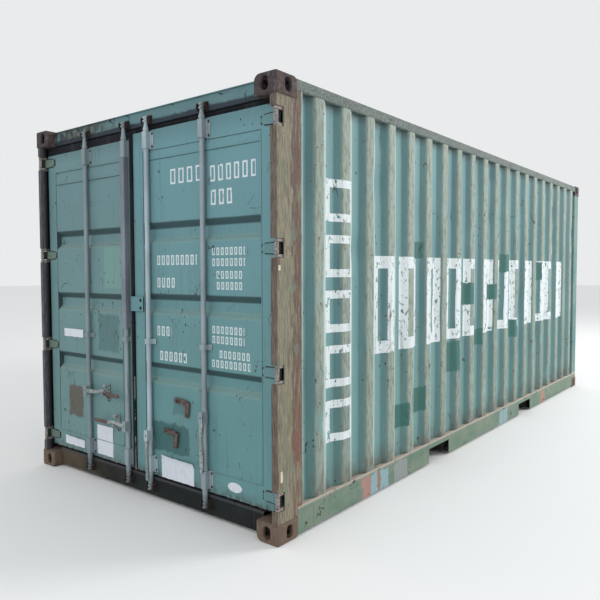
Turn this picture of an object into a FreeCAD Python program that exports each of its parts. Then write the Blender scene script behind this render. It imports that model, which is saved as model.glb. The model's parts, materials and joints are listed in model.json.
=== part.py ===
# Twenty-foot dry freight container: hollow steel box with two hinged door leaves,
# four turning lock rods and four lock rod handles.
#
# Millimetres.  +X runs from the door end to the front wall, +Y to the left as one
# faces the doors, +Z up.  The origin is on the ground at the middle of the footprint.
# "Left" and "right" are as seen by someone standing outside, facing the doors.

import FreeCAD, Part
import math
import os

from FreeCAD import Vector

# ---------------------------------------------------------------- driving sizes
LENGTH = 6058.0
WIDTH = 2438.0
HEIGHT = 2591.0
DOOR_X = -LENGTH / 2
FRONT_X = LENGTH / 2
SIDE_Y = WIDTH / 2

# corner castings
CAST_X = 178.0
CAST_Y = 162.0
CAST_Z = 118.0
CAST_CAP = 28.5          # thickness of the slotted top or bottom wall
CAST_OUTER = 20.0        # thickness of the end and side walls
CAST_INNER = 12.0        # thickness of the two walls towards the box
CAST_ROUND = 20.0        # rounding of the outer edges
SLOT_X_FROM_END = 102.5
SLOT_Y_FROM_SIDE = 89.5
SLOT_LONG = 124.0
SLOT_WIDE = 63.5
PORT_HIGH = 79.0
PORT_WIDE = 51.0
END_PORT_FROM_SIDE = 89.0
SIDE_PORT_FROM_END = 101.5
PORT_FROM_CAP = 58.0

# setbacks of the skin behind the casting faces
POST_SET = 4.0
WALL_SET = 8.0

# rails, posts, floor
RAIL_TUBE = 60.0
RAIL_WALL = 4.0
RAIL_ROUND = 6.0
TOP_RAIL_TOP = HEIGHT - 9.0
BOTTOM_RAIL_LOW = 16.0
BOTTOM_RAIL_HIGH = 174.0
BOTTOM_RAIL_FLANGE = 50.0
BOTTOM_RAIL_TOP_FLANGE = 44.0
BOTTOM_RAIL_WALL = 5.0
POST_DEEP = 211.0        # side web of a door post, along X
POST_FLANGE = 46.0
POST_PLATE = 6.0
POST_LIP_DEPTH = 50.0
POST_ROUND = 14.0
FRONT_POST_DEEP = CAST_X - POST_SET
FRONT_POST_WIDE = CAST_Y - POST_SET
FRONT_POST_LIP = 70.0
FRONT_POST_INNER = 44.0
FRONT_RAIL_TUBE = 64.0
FRONT_BEAM_DEEP = 70.0
FRONT_BEAM_HIGH = 156.0
FRONT_BEAM_WALL = 5.0
SEAL_CHANNEL_DEEP = 113.0
SEAL_CHANNEL_WIDE = 40.0
SEAL_CHANNEL_WALL = 8.0
FLOOR_LOW = 136.0
FLOOR_THICK = 28.0
BEAM_LOW = 16.0
BEAM_HIGH = FLOOR_LOW
BEAM_FLANGE = 45.0
BEAM_WALL = 4.5
BEAM_COUNT = 16
BEAM_FIRST_X = -2620.0
BEAM_LAST_X = 2740.0
BEAM_POCKET_GAP = 8.0

# corrugated sheets
WALL_SHEET = 1.6
WALL_PITCH = 282.0
WALL_CREST = 76.0
WALL_SLOPE = 68.0
WALL_DEPTH = 36.0
WALL_CRESTS = 20
WALL_FIRST_CREST = -2627.0
WALL_EDGE_FLAT = 20.0    # strip at the door post that lies level with the crests
WALL_EDGE_SLOPE = 40.0
END_SHEET = 2.0
END_PITCH = 250.0
END_FLAT = 107.0
END_SLOPE = 18.0
END_DEPTH = 45.0
END_CRESTS = 8
END_SET = 3.0            # crests of the front wall behind the front rails' faces
ROOF_SHEET = 2.0
ROOF_PITCH = 209.0
ROOF_FLAT = 91.0
ROOF_SLOPE = 14.0
ROOF_DEPTH = 20.0
ROOF_EDGE = 60.0
ROOF_TOP = HEIGHT - 14.0

# fork pockets
POCKET_X = 1025.0
POCKET_WIDE = 360.0
POCKET_LOW = 20.0
POCKET_HIGH = 128.0
POCKET_PLATE = 6.0

# door end, depths are measured inwards from the casting faces
HEADER_DEPTH = 62.0
HEADER_LOW = 2474.0
HEADER_HIGH = 2580.0
SILL_DEPTH = 62.0
SILL_LOW = 18.0
SILL_HIGH = 146.0
BEAM_DEEP = 112.0        # header and sill, along X
HEADER_WALL = 4.0
SILL_WALL = 5.0
DRIP_LIP_OUT = 10.0
DRIP_LIP_THICK = 5.0
STEP_IN = 20.0           # the angle behind the sill that the floor butts against
STEP_BACK = 8.0
LEAF_DEPTH = 60.0
LEAF_THICK = 50.0
LEAF_EDGE_Y = 1152.0
LEAF_LOW = 166.0
RIGHT_LEAF_HIGH = 2436.0
LEFT_LEAF_HIGH = 2408.0
RIGHT_LEAF_INNER_Y = 91.0
LEFT_LEAF_INNER_Y = 139.0
STILE_WIDE = 98.0
STILE_WALL = 3.0
LEAF_RAIL_HIGH = 130.0
DOOR_SHEET = 2.0
PANEL_SET = 1.0
RECESS_Z = (850.0, 1304.0, 1768.0)
RECESS_HIGH = 130.0
RECESS_SLOPE = 32.0
RECESS_DEPTH = 36.0
LEFT_RECESS_DROP = 12.0
GASKET_DEPTH = 72.0
GASKET_THICK = 22.0
GASKET_GAP = 5.0

# door hinges
PIN_DEPTH = 20.0
PIN_Y = 1197.0
PIN_R = 7.0
PIN_FIT = 0.05
KNUCKLE_R = 13.0
HINGE_Z = (245.0, 953.0, 1645.0, 2352.0)
HINGE_HIGH = 66.0
BLADE_PLATE = 8.0
BLADE_END_Y = 1060.0
LUG_HIGH = 16.0
LUG_GAP = 2.0
LUG_ROOT_DEPTH = 70.0
HINGE_CUT_DEPTH = 62.0
HINGE_CUT_Y = 1150.0
HINGE_CUT_GAP = 2.0
ARM_FLUSH = 2.0

# lock rods
ROD_Y = {1: 625.0, 2: 166.0, 3: -72.0, 4: -600.0}
ROD_DEPTH = 38.0
ROD_R = 16.5
ROD_BORE = 17.5
ROD_LOW = 118.0
ROD_HIGH = 2462.0
CAM_HIGH = 34.0
CAM_NECK_R = 11.0
CAM_R = 15.0
CAM_LOBE = 17.0
CAM_LOBE_WIDE = 20.0
CAM_OVERLAP = 2.0        # how far a cam's neck runs into the pipe
TOP_CAM_Z = 2502.0
BOTTOM_CAM_Z = 84.0
KEEPER_PLATE = 9.0
KEEPER_BASE = 1.5
KEEPER_CLEAR = 28.0
KEEPER_HIGH = 52.0
KEEPER_REACH = 40.0
BEARING_TOP = 2426.0
BEARING_HIGH = 112.0
BEARING_LOW = 186.0
MID_BEARING_Z = 1058.0
MID_BEARING_HIGH = 36.0
BEARING_WIDE = 116.0
BEARING_PLATE = 5.0
STRAP_WALL = 3.5
EDGE_BEARING_WIDE = 87.0 # rod 2 stands so near the leaf's edge that its plates are narrower
EDGE_BEARING_SET = 2.0
GUARD_LOW = 1130.0
GUARD_GAP = 2.0
GUARD_WALL = 3.0

# overlap plate
OVERLAP_LIFT = 12.0      # its back face stands off the leaf by this much less its thickness
OVERLAP_THICK = 5.0
OVERLAP_ROOT_Y = -4.0
OVERLAP_SHORT = 8.0      # gap to the left leaf
OVERLAP_Z = (1250.0, 1350.0)
OVERLAP_FOOT_IN = 6.0

# lock rod handles
HANDLE_Z = {1: 655.0, 2: 458.0, 3: 434.0, 4: 630.0}
HANDLE_DIR = {1: -1, 2: 1, 3: -1, 4: 1}     # Y direction of a raised or latched handle
HANDLE_HANGS = {1: False, 2: False, 3: True, 4: True}
HANDLE_LONG = {1: 400.0, 2: 345.0, 3: 300.0, 4: 345.0}
HANDLE_FRONT = 2.0
HANDLE_THICK = 9.0
HANDLE_WIDE = 26.0
HANDLE_NECK = 20.0
HANDLE_EYE_RIM = 3.0     # the eye is this much wider than the lever, all round
HANDLE_TAPER_AT = 0.35   # where the lever narrows, as a share of its length
HANDLE_NECK_LONG = 20.0
HANDLE_FLARE_LONG = 30.0
HANDLE_TIP_LONG = 10.0
HANDLE_TIP_IN = 8.0
HANDLE_PIN_R = 6.0
HUB_HIGH = 46.0
HUB_HALF = 16.0
HUB_GAP = 1.0
HUB_BACK = 12.5          # hub's rear face behind the rod's axis
PIN_FACE_DEPTH = 0.5
CATCH_Y = {1: 410.0, 2: 296.0}
CATCH_WIDE = 44.0
CATCH_HIGH = 124.0
CATCH_PLATE = 5.0
SHELF_WIDE = 28.0
SHELF_HIGH = 12.0
SHELF_GAP = 3.5
HOOK_CORNER = {3: (-200.0, 500.0), 4: (-312.0, 712.0)}   # (y, z) of the arm's upper inner corner
HOOK_ARM = 138.0
HOOK_BAR = 34.0
HOOK_DROP = 116.0
HOOK_LEAN = 14.0
HOOK_THICK = 14.0
HOOK_SAG = 12.0
HOOK_BEND = 10.0

PARTS = "parts"


# ---------------------------------------------------------------- small helpers
def box(x0, x1, y0, y1, z0, z1):
    """A block between two corners, given in any order."""
    low = Vector(min(x0, x1), min(y0, y1), min(z0, z1))
    return Part.makeBox(abs(x1 - x0), abs(y1 - y0), abs(z1 - z0), low)


def deep(depth):
    """The X of a plane this far inwards from the door end's casting faces."""
    return DOOR_X + depth


def door_box(d0, d1, y0, y1, z0, z1):
    """A block whose X extent is given as depths from the door end."""
    return box(deep(d0), deep(d1), y0, y1, z0, z1)


def rod(radius, x, y, z0, z1):
    """An upright cylinder."""
    return Part.makeCylinder(radius, z1 - z0, Vector(x, y, z0), Vector(0, 0, 1))


def fuse(shapes):
    """One solid from overlapping or touching ones."""
    first = shapes[0]
    if len(shapes) == 1:
        return first
    return first.multiFuse(shapes[1:]).removeSplitter()


def prism(points, direction):
    """A closed outline of 3D points, swept along a vector."""
    wire = Part.makePolygon([Vector(*p) for p in points + points[:1]])
    return Part.Face(wire).extrude(Vector(*direction))


def mirror_y(shape):
    return shape.mirror(Vector(0, 0, 0), Vector(0, 1, 0))


def mirror_x(shape):
    return shape.mirror(Vector(0, 0, 0), Vector(1, 0, 0))


def group(shapes):
    """Separate solids that share one node."""
    return Part.Compound(shapes)


def stadium(long, wide, depth):
    """A slot tool centred on the origin: long along X, wide along Y, deep along Z."""
    half = (long - wide) / 2
    ends = [Part.makeCylinder(wide / 2, depth, Vector(s * half, 0, -depth / 2)) for s in (-1, 1)]
    return fuse([box(-half, half, -wide / 2, wide / 2, -depth / 2, depth / 2)] + ends)


def sheet(path, thickness, offset, extrude):
    """A folded sheet from a 2D polyline.

    path is a list of (along, out) points; the sheet's other face is thickness
    further in, shifted along so that slopes keep their thickness.  offset maps an
    (along, out) pair to a 3D point, extrude is the sweep vector.
    """
    inner = []
    for i, (a, b) in enumerate(path):
        normals = []
        for p, q in ((i - 1, i), (i, i + 1)):
            if p < 0 or q >= len(path):
                continue
            da, db = path[q][0] - path[p][0], path[q][1] - path[p][1]
            size = math.hypot(da, db)
            normals.append((db / size, -da / size))
        na = sum(n[0] for n in normals) / len(normals)
        nb = sum(n[1] for n in normals) / len(normals)
        scale = thickness / (na * na + nb * nb)
        inner.append((a + na * scale, b + nb * scale))
    outline = [offset(a, b) for a, b in path + inner[::-1]]
    return prism(outline, extrude)


def trapezoids(start, end, first, pitch, crest, slope, depth, count):
    """(along, out) points of a sheet with count crests and recesses between them."""
    points = [(start, -depth)]
    for k in range(count):
        middle = first + k * pitch
        points += [
            (middle - crest / 2 - slope, -depth),
            (middle - crest / 2, 0.0),
            (middle + crest / 2, 0.0),
            (middle + crest / 2 + slope, -depth),
        ]
    points.append((end, -depth))
    return [p for i, p in enumerate(points) if i == 0 or abs(p[0] - points[i - 1][0]) > 0.5]


# ---------------------------------------------------------------- corner castings
def casting():
    """The bottom casting at the door end, right-hand side, at x = DOOR_X, y = -SIDE_Y."""
    x0, y0 = DOOR_X, -SIDE_Y
    body = box(x0, x0 + CAST_X, y0, y0 + CAST_Y, 0, CAST_Z)
    outer = [e for e in body.Edges if on_outer_edge(e, x0, y0)]
    body = body.makeFillet(CAST_ROUND, outer)
    hollow = box(x0 + CAST_OUTER, x0 + CAST_X - CAST_INNER, y0 + CAST_OUTER, y0 + CAST_Y - CAST_INNER,
                 CAST_CAP, CAST_Z - CAST_INNER)
    slot = stadium(SLOT_LONG, SLOT_WIDE, 2 * CAST_CAP + 4)
    slot.translate(Vector(x0 + SLOT_X_FROM_END, y0 + SLOT_Y_FROM_SIDE, 0))
    port = stadium(PORT_HIGH, PORT_WIDE, 2 * CAST_OUTER + 4)
    port.rotate(Vector(0, 0, 0), Vector(0, 1, 0), 90)
    end_port = port.copy()
    end_port.translate(Vector(x0, y0 + END_PORT_FROM_SIDE, PORT_FROM_CAP))
    side_port = port.copy()
    side_port.rotate(Vector(0, 0, 0), Vector(0, 0, 1), 90)
    side_port.translate(Vector(x0 + SIDE_PORT_FROM_END, y0, PORT_FROM_CAP))
    return body.cut(hollow).cut(slot).cut(end_port).cut(side_port)


def on_outer_edge(edge, x0, y0):
    """True for the vertical outer edge and the outer edges of the slotted face."""
    c = edge.CenterOfMass
    upright = abs(c.x - x0) < 1 and abs(c.y - y0) < 1
    low_end = abs(c.z) < 1 and abs(c.x - x0) < 1
    low_side = abs(c.z) < 1 and abs(c.y - y0) < 1
    return upright or low_end or low_side


def castings(top):
    low = casting()
    if top:
        low = low.mirror(Vector(0, 0, HEIGHT / 2), Vector(0, 0, 1))
    pair = [low, mirror_y(low)]
    return group(pair + [mirror_x(s) for s in pair])


# ---------------------------------------------------------------- posts and rails
def hinge_cut(z):
    """The gap in a door post's corner that a hinge turns in."""
    half = HINGE_HIGH / 2 + LUG_HIGH + LUG_GAP + HINGE_CUT_GAP
    return door_box(0, HINGE_CUT_DEPTH, -SIDE_Y, -HINGE_CUT_Y, z - half, z + half)


def door_post_right():
    z0, z1 = CAST_Z, HEIGHT - CAST_Z
    y0 = -SIDE_Y + POST_SET
    web = door_box(POST_SET, CAST_X, y0, y0 + POST_PLATE, z0, z1)
    wing = door_box(CAST_X, POST_SET + POST_DEEP, y0, y0 + POST_PLATE,
                    BOTTOM_RAIL_HIGH, TOP_RAIL_TOP - RAIL_TUBE)
    face = door_box(POST_SET, POST_SET + POST_PLATE, y0, y0 + POST_FLANGE, z0, z1)
    lip = door_box(POST_SET, POST_LIP_DEPTH, y0 + POST_FLANGE - POST_PLATE, y0 + POST_FLANGE, z0, z1)
    outer = round_upright(fuse([web, wing, face, lip]), deep(POST_SET), y0, POST_ROUND)
    for z in HINGE_Z:
        outer = outer.cut(hinge_cut(z))
    back = POST_SET + POST_DEEP
    y1, t = y0 + POST_PLATE, SEAL_CHANNEL_WALL
    channel = door_box(back - SEAL_CHANNEL_DEEP, back, y1, y1 + SEAL_CHANNEL_WIDE, BOTTOM_RAIL_HIGH, z1)
    hollow = door_box(back - SEAL_CHANNEL_DEEP + t, back - t, y1, y1 + SEAL_CHANNEL_WIDE - t, z0, z1 + 1)
    return fuse([outer, channel.cut(hollow)])


def front_post_right():
    z0, z1 = CAST_Z, HEIGHT - CAST_Z
    x1, y0 = FRONT_X - POST_SET, -SIDE_Y + POST_SET
    web = box(x1 - FRONT_POST_DEEP, x1, y0, y0 + POST_PLATE, z0, z1)
    face = box(x1 - POST_PLATE, x1, y0, y0 + FRONT_POST_WIDE, z0, z1)
    lip = box(x1 - FRONT_POST_LIP, x1, y0 + FRONT_POST_WIDE - POST_PLATE, y0 + FRONT_POST_WIDE, z0, z1)
    inner = box(x1 - FRONT_POST_DEEP, x1 - FRONT_POST_DEEP + POST_PLATE, y0, y0 + FRONT_POST_INNER, z0, z1)
    return round_upright(fuse([web, face, lip, inner]), x1, y0, POST_ROUND)


def round_upright(shape, x, y, radius):
    """Rounds the upright edge of a shape that stands at x, y."""
    found = [e for e in shape.Edges
             if abs(e.CenterOfMass.x - x) < 0.5 and abs(e.CenterOfMass.y - y) < 0.5 and e.Length > CAST_Z]
    return shape.makeFillet(radius, found)


def tube_x(x0, x1, y0, y1, z0, z1, wall):
    """A hollow rectangular tube along X, its long outer edges rounded."""
    body = box(x0, x1, y0, y1, z0, z1)
    body = body.makeFillet(RAIL_ROUND, [e for e in body.Edges if abs(e.Length - (x1 - x0)) < 1])
    return body.cut(box(x0 - 1, x1 + 1, y0 + wall, y1 - wall, z0 + wall, z1 - wall))


def tube_y(x0, x1, y0, y1, z0, z1, wall):
    """A hollow rectangular tube along Y, its long outer edges rounded."""
    body = box(x0, x1, y0, y1, z0, z1)
    body = body.makeFillet(RAIL_ROUND, [e for e in body.Edges if abs(e.Length - (y1 - y0)) < 1])
    return body.cut(box(x0 + wall, x1 - wall, y0 - 1, y1 + 1, z0 + wall, z1 - wall))


def top_side_rail_right():
    y0 = -SIDE_Y + POST_SET
    return tube_x(DOOR_X + CAST_X, FRONT_X - CAST_X, y0, y0 + RAIL_TUBE,
                  TOP_RAIL_TOP - RAIL_TUBE, TOP_RAIL_TOP, RAIL_WALL)


def rail_channel(x0, x1, z0):
    """A length of bottom rail, its web outside, from z0 up, with a foot flange if it starts low."""
    y0, t = -SIDE_Y + POST_SET, BOTTOM_RAIL_WALL
    pieces = [box(x0, x1, y0, y0 + t, z0, BOTTOM_RAIL_HIGH),
              box(x0, x1, y0, y0 + BOTTOM_RAIL_TOP_FLANGE, BOTTOM_RAIL_HIGH - t, BOTTOM_RAIL_HIGH)]
    if z0 == BOTTOM_RAIL_LOW:
        pieces.append(box(x0, x1, y0, y0 + BOTTOM_RAIL_FLANGE, z0, z0 + t))
    return fuse(pieces)


def bottom_side_rail_right():
    """Three full lengths of channel, and a shallow one over each fork pocket."""
    near, far = POCKET_X - POCKET_WIDE / 2, POCKET_X + POCKET_WIDE / 2
    ends = (DOOR_X + CAST_X, -far, -near, near, far, FRONT_X - CAST_X)
    lows = (BOTTOM_RAIL_LOW, POCKET_HIGH, BOTTOM_RAIL_LOW, POCKET_HIGH, BOTTOM_RAIL_LOW)
    return group([rail_channel(x0, x1, z0) for x0, x1, z0 in zip(ends, ends[1:], lows)])


def door_header():
    """A tube between the top castings, with a thin drip lip along its top."""
    y1 = SIDE_Y - CAST_Y
    beam = tube_y(deep(HEADER_DEPTH), deep(HEADER_DEPTH + BEAM_DEEP), -y1, y1, HEADER_LOW, HEADER_HIGH,
                  HEADER_WALL)
    lip = door_box(HEADER_DEPTH - DRIP_LIP_OUT, HEADER_DEPTH + HEADER_WALL / 2, -y1, y1,
                   HEADER_HIGH - RAIL_ROUND - DRIP_LIP_THICK, HEADER_HIGH - RAIL_ROUND)
    return fuse([beam, lip])


def door_sill():
    y1 = SIDE_Y - CAST_Y
    beam = tube_y(deep(SILL_DEPTH), deep(SILL_DEPTH + BEAM_DEEP), -y1, y1, SILL_LOW, SILL_HIGH,
                  SILL_WALL)
    step = door_box(SILL_DEPTH + BEAM_DEEP - STEP_IN, SILL_DEPTH + BEAM_DEEP + STEP_BACK, -y1, y1,
                    SILL_HIGH - SILL_WALL / 2, FLOOR_LOW + FLOOR_THICK)
    return fuse([beam, step])


def front_top_rail():
    y1 = SIDE_Y - CAST_Y
    return tube_y(FRONT_X - POST_SET - FRONT_RAIL_TUBE, FRONT_X - POST_SET, -y1, y1,
                  TOP_RAIL_TOP - FRONT_RAIL_TUBE, TOP_RAIL_TOP, RAIL_WALL)


def front_bottom_rail():
    """A channel with its web outside, its flanges pointing in."""
    y1, x1, t = SIDE_Y - CAST_Y, FRONT_X - POST_SET, FRONT_BEAM_WALL
    beam = box(x1 - FRONT_BEAM_DEEP, x1, -y1, y1, SILL_LOW, FRONT_BEAM_HIGH)
    return beam.cut(box(x1 - FRONT_BEAM_DEEP - 1, x1 - t, -y1 - 1, y1 + 1,
                        SILL_LOW + t, FRONT_BEAM_HIGH - t))


# ---------------------------------------------------------------- skins and floor
def side_wall_right():
    """Corrugated sheet between the rails, crests outwards."""
    x0 = DOOR_X + POST_SET + POST_DEEP
    x1 = FRONT_X - POST_SET - FRONT_POST_DEEP
    y0 = -SIDE_Y + WALL_SET
    x2 = x0 + WALL_EDGE_FLAT
    x3 = x2 + WALL_EDGE_SLOPE
    path = [(x0, 0.0), (x2, 0.0)]
    path += trapezoids(x3, x1, WALL_FIRST_CREST, WALL_PITCH, WALL_CREST, WALL_SLOPE,
                       WALL_DEPTH, WALL_CRESTS)
    z0, z1 = BOTTOM_RAIL_HIGH, TOP_RAIL_TOP - RAIL_TUBE
    return sheet(path, WALL_SHEET, lambda a, b: (a, y0 - b, z0), (0, 0, z1 - z0))


def front_wall():
    """Corrugated end sheet between the front posts, crests outwards."""
    x0 = FRONT_X - POST_SET - END_SET
    half = SIDE_Y - POST_SET - FRONT_POST_WIDE
    first = -END_PITCH * (END_CRESTS - 1) / 2
    path = trapezoids(-half, half, first, END_PITCH, END_FLAT, END_SLOPE, END_DEPTH, END_CRESTS)
    z0, z1 = FRONT_BEAM_HIGH, TOP_RAIL_TOP - FRONT_RAIL_TUBE
    return sheet(path, END_SHEET, lambda a, b: (x0 + b, a, z0), (0, 0, z1 - z0))


def roof_panel():
    """Corrugated roof sheet between the top rails, crests upwards."""
    x0 = deep(HEADER_DEPTH + BEAM_DEEP)
    x1 = FRONT_X - POST_SET - FRONT_RAIL_TUBE
    half = SIDE_Y - POST_SET - RAIL_TUBE
    count = int((x1 - x0 - ROOF_EDGE) // ROOF_PITCH)
    first = (x0 + x1) / 2 - ROOF_PITCH * (count - 1) / 2
    path = trapezoids(x0, x1, first, ROOF_PITCH, ROOF_FLAT, ROOF_SLOPE, ROOF_DEPTH, count)
    roof = sheet(path, ROOF_SHEET, lambda a, b: (a, -half, ROOF_TOP + b), (0, 2 * half, 0))
    for sx in (-1, 1):
        for sy in (-1, 1):
            roof = roof.cut(box(sx * (FRONT_X - CAST_X), sx * FRONT_X, sy * (SIDE_Y - CAST_Y), sy * SIDE_Y,
                                HEIGHT - CAST_Z, HEIGHT))
    return roof


def floor_boards():
    half = SIDE_Y - POST_SET - BOTTOM_RAIL_TOP_FLANGE
    x0, x1 = deep(SILL_DEPTH + BEAM_DEEP + STEP_BACK), FRONT_X - POST_SET - FRONT_BEAM_DEEP - 1
    return box(x0, x1, -half, half, FLOOR_LOW, FLOOR_LOW + FLOOR_THICK)


def cross_members():
    """Channels under the floor, left out where the fork pockets run."""
    half = SIDE_Y - POST_SET - BOTTOM_RAIL_FLANGE
    pitch = (BEAM_LAST_X - BEAM_FIRST_X) / (BEAM_COUNT - 1)
    beams = []
    for k in range(BEAM_COUNT):
        x = BEAM_FIRST_X + pitch * k
        if abs(abs(x) - POCKET_X) < POCKET_WIDE / 2 + BEAM_FLANGE + BEAM_POCKET_GAP:
            continue
        web = box(x, x + BEAM_WALL, -half, half, BEAM_LOW, BEAM_HIGH)
        flanges = [box(x, x + BEAM_FLANGE, -half, half, z, z + BEAM_WALL)
                   for z in (BEAM_LOW, BEAM_HIGH - BEAM_WALL)]
        beams.append(fuse([web] + flanges))
    return group(beams)


def fork_pocket_sides():
    """Upright plates at both sides of the two tunnels for lift truck forks."""
    half = SIDE_Y - POST_SET - BOTTOM_RAIL_FLANGE
    plates = []
    for x in (-POCKET_X, POCKET_X):
        for x0 in (x - POCKET_WIDE / 2 - POCKET_PLATE, x + POCKET_WIDE / 2):
            plates.append(box(x0, x0 + POCKET_PLATE, -half, half, POCKET_LOW, POCKET_HIGH))
    return group(plates)


def fork_pocket_tops():
    """Plates over the two tunnels, under the floor."""
    half = SIDE_Y - POST_SET - BOTTOM_RAIL_FLANGE
    wide = POCKET_WIDE / 2 + POCKET_PLATE
    return group([box(x - wide, x + wide, -half, half, POCKET_HIGH, FLOOR_LOW)
                  for x in (-POCKET_X, POCKET_X)])


# ---------------------------------------------------------------- door leaves
def leaf_span(side):
    """(outer y, inner y, top z) of a leaf; side is +1 for the left leaf, -1 for the right."""
    if side > 0:
        return LEAF_EDGE_Y, LEFT_LEAF_INNER_Y, LEFT_LEAF_HIGH
    return -LEAF_EDGE_Y, RIGHT_LEAF_INNER_Y, RIGHT_LEAF_HIGH


def leaf_frame(side):
    """Two upright tubes and two level tubes, welded into a rectangle."""
    outer, inner, high = leaf_span(side)
    d0, d1 = LEAF_DEPTH, LEAF_DEPTH + LEAF_THICK
    whole = door_box(d0, d1, outer, inner, LEAF_LOW, high)
    s = side * STILE_WIDE
    window = door_box(d0 - 1, d1 + 1, outer - s, inner + s,
                      LEAF_LOW + LEAF_RAIL_HIGH, high - LEAF_RAIL_HIGH)
    w = STILE_WALL
    frame = whole.cut(window)
    for y0, y1 in ((outer - side * w, outer - s + side * w), (inner + s - side * w, inner + side * w)):
        frame = frame.cut(door_box(d0 + w, d1 - w, y0, y1, LEAF_LOW + w, high - w))
    y0, y1 = outer - s - side * w, inner + s + side * w
    for z0, z1 in ((LEAF_LOW + w, LEAF_LOW + LEAF_RAIL_HIGH - w), (high - LEAF_RAIL_HIGH + w, high - w)):
        frame = frame.cut(door_box(d0 + w, d1 - w, y0, y1, z0, z1))
    return frame


def leaf_panel(side):
    """The sheet inside a leaf's frame, with three level recesses."""
    outer, inner, high = leaf_span(side)
    y0, y1 = outer - side * STILE_WIDE, inner + side * STILE_WIDE
    z0, z1 = LEAF_LOW + LEAF_RAIL_HIGH, high - LEAF_RAIL_HIGH
    drop = LEFT_RECESS_DROP if side > 0 else 0.0
    path = [(z1, 0.0)]
    for middle in reversed(RECESS_Z):
        top = middle - drop + RECESS_HIGH / 2
        path += [(top, 0.0), (top - RECESS_SLOPE, -RECESS_DEPTH),
                 (top - RECESS_HIGH + RECESS_SLOPE, -RECESS_DEPTH), (top - RECESS_HIGH, 0.0)]
    path.append((z0, 0.0))
    d0 = LEAF_DEPTH + PANEL_SET
    low_y = min(y0, y1)
    return sheet(path[::-1], DOOR_SHEET, lambda a, b: (deep(d0 - b), low_y, a), (0, abs(y1 - y0), 0))


def leaf_gasket(side):
    """Rubber strip round a leaf, standing clear of the post, header, sill and other leaf."""
    outer, inner, high = leaf_span(side)
    d0, d1 = GASKET_DEPTH, GASKET_DEPTH + GASKET_THICK
    out = side * (SIDE_Y - POST_SET - POST_FLANGE - GASKET_GAP)
    split = (LEFT_LEAF_INNER_Y + RIGHT_LEAF_INNER_Y) / 2
    centre = split + side * GASKET_GAP / 2
    low = SILL_HIGH + GASKET_GAP
    top = HEADER_LOW - GASKET_GAP
    ring = door_box(d0, d1, out, centre, low, top)
    return ring.cut(door_box(d0 - 1, d1 + 1, outer, inner, LEAF_LOW, high))


def hinge_arm(side, z):
    """One hinge: an eye round the pin, an arm and a blade lying on the leaf."""
    y = side * PIN_Y
    z0, z1 = z - HINGE_HIGH / 2, z + HINGE_HIGH / 2
    eye = rod(KNUCKLE_R, deep(PIN_DEPTH), y, z0, z1)
    root = y + side * ARM_FLUSH
    arm = door_box(PIN_DEPTH, LEAF_DEPTH, y - side * KNUCKLE_R, root, z0, z1)
    blade = door_box(LEAF_DEPTH - BLADE_PLATE, LEAF_DEPTH, root, side * BLADE_END_Y, z0, z1)
    bore = rod(PIN_R + PIN_FIT, deep(PIN_DEPTH), y, z0 - 1, z1 + 1)
    return fuse([eye, arm, blade]).cut(bore)


def hinge_blades(side):
    return group([hinge_arm(side, z) for z in HINGE_Z])


def hinge_lugs():
    """Lugs welded in the posts above and below each hinge, each pair with its pin."""
    sets = []
    for side in (-1, 1):
        for z in HINGE_Z:
            sets.append(hinge_lug(side, z))
    return group(sets)


def hinge_lug(side, z):
    y = side * PIN_Y
    pieces = []
    for way in (-1, 1):
        near = z + way * (HINGE_HIGH / 2 + LUG_GAP)
        far = near + way * LUG_HIGH
        z0, z1 = min(near, far), max(near, far)
        pieces.append(rod(KNUCKLE_R, deep(PIN_DEPTH), y, z0, z1))
        pieces.append(door_box(PIN_DEPTH, LUG_ROOT_DEPTH, y - side * KNUCKLE_R,
                               side * (SIDE_Y - POST_SET - POST_PLATE), z0, z1))
    reach = HINGE_HIGH / 2 + LUG_GAP + LUG_HIGH
    pieces.append(rod(PIN_R, deep(PIN_DEPTH), y, z - reach, z + reach))
    return fuse(pieces)


# ---------------------------------------------------------------- lock gear
def leaf_of(n):
    """+1 where lock rod n is on the left leaf, -1 where it is on the right leaf."""
    return 1 if n <= 2 else -1


def strap(n, z0, z1):
    """A bearing: a plate on the leaf, and a saddle round the rod standing on it."""
    y = ROD_Y[n]
    half = BEARING_WIDE / 2
    lo, hi = y - half, y + half
    if n == 2:
        lo = LEFT_LEAF_INNER_Y + EDGE_BEARING_SET
        hi = lo + EDGE_BEARING_WIDE
    plate = door_box(LEAF_DEPTH - BEARING_PLATE, LEAF_DEPTH, lo, hi, z0, z1)
    r = ROD_BORE + STRAP_WALL
    saddle = fuse([rod(r, deep(ROD_DEPTH), y, z0, z1),
                   door_box(ROD_DEPTH, LEAF_DEPTH - BEARING_PLATE, max(lo, y - r), y + r, z0, z1)])
    bore = rod(ROD_BORE, deep(ROD_DEPTH), y, z0 - 1, z1 + 1)
    return [plate.cut(bore), saddle.cut(plate).cut(bore)]


def rod_brackets(side):
    high_gap = 0.0 if side < 0 else RIGHT_LEAF_HIGH - LEFT_LEAF_HIGH
    rods = [n for n in ROD_Y if leaf_of(n) == side]
    top = BEARING_TOP - high_gap
    found = []
    for n in rods:
        found += strap(n, top - BEARING_HIGH, top)
        found += strap(n, MID_BEARING_Z - MID_BEARING_HIGH / 2, MID_BEARING_Z + MID_BEARING_HIGH / 2)
        found += strap(n, BEARING_LOW, BEARING_LOW + BEARING_HIGH)
    return group(found)


def rod_guard():
    """The channel that covers the upper half of lock rod 2."""
    y = ROD_Y[2]
    top = BEARING_TOP - (RIGHT_LEAF_HIGH - LEFT_LEAF_HIGH) - BEARING_HIGH - 1
    r, t = ROD_BORE + GUARD_GAP, GUARD_WALL
    shell = door_box(ROD_DEPTH - r - t, LEAF_DEPTH, y - r - t, y + r + t, GUARD_LOW, top)
    return shell.cut(door_box(ROD_DEPTH - r, LEAF_DEPTH + 1, y - r, y + r, GUARD_LOW - 1, top + 1))


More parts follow.
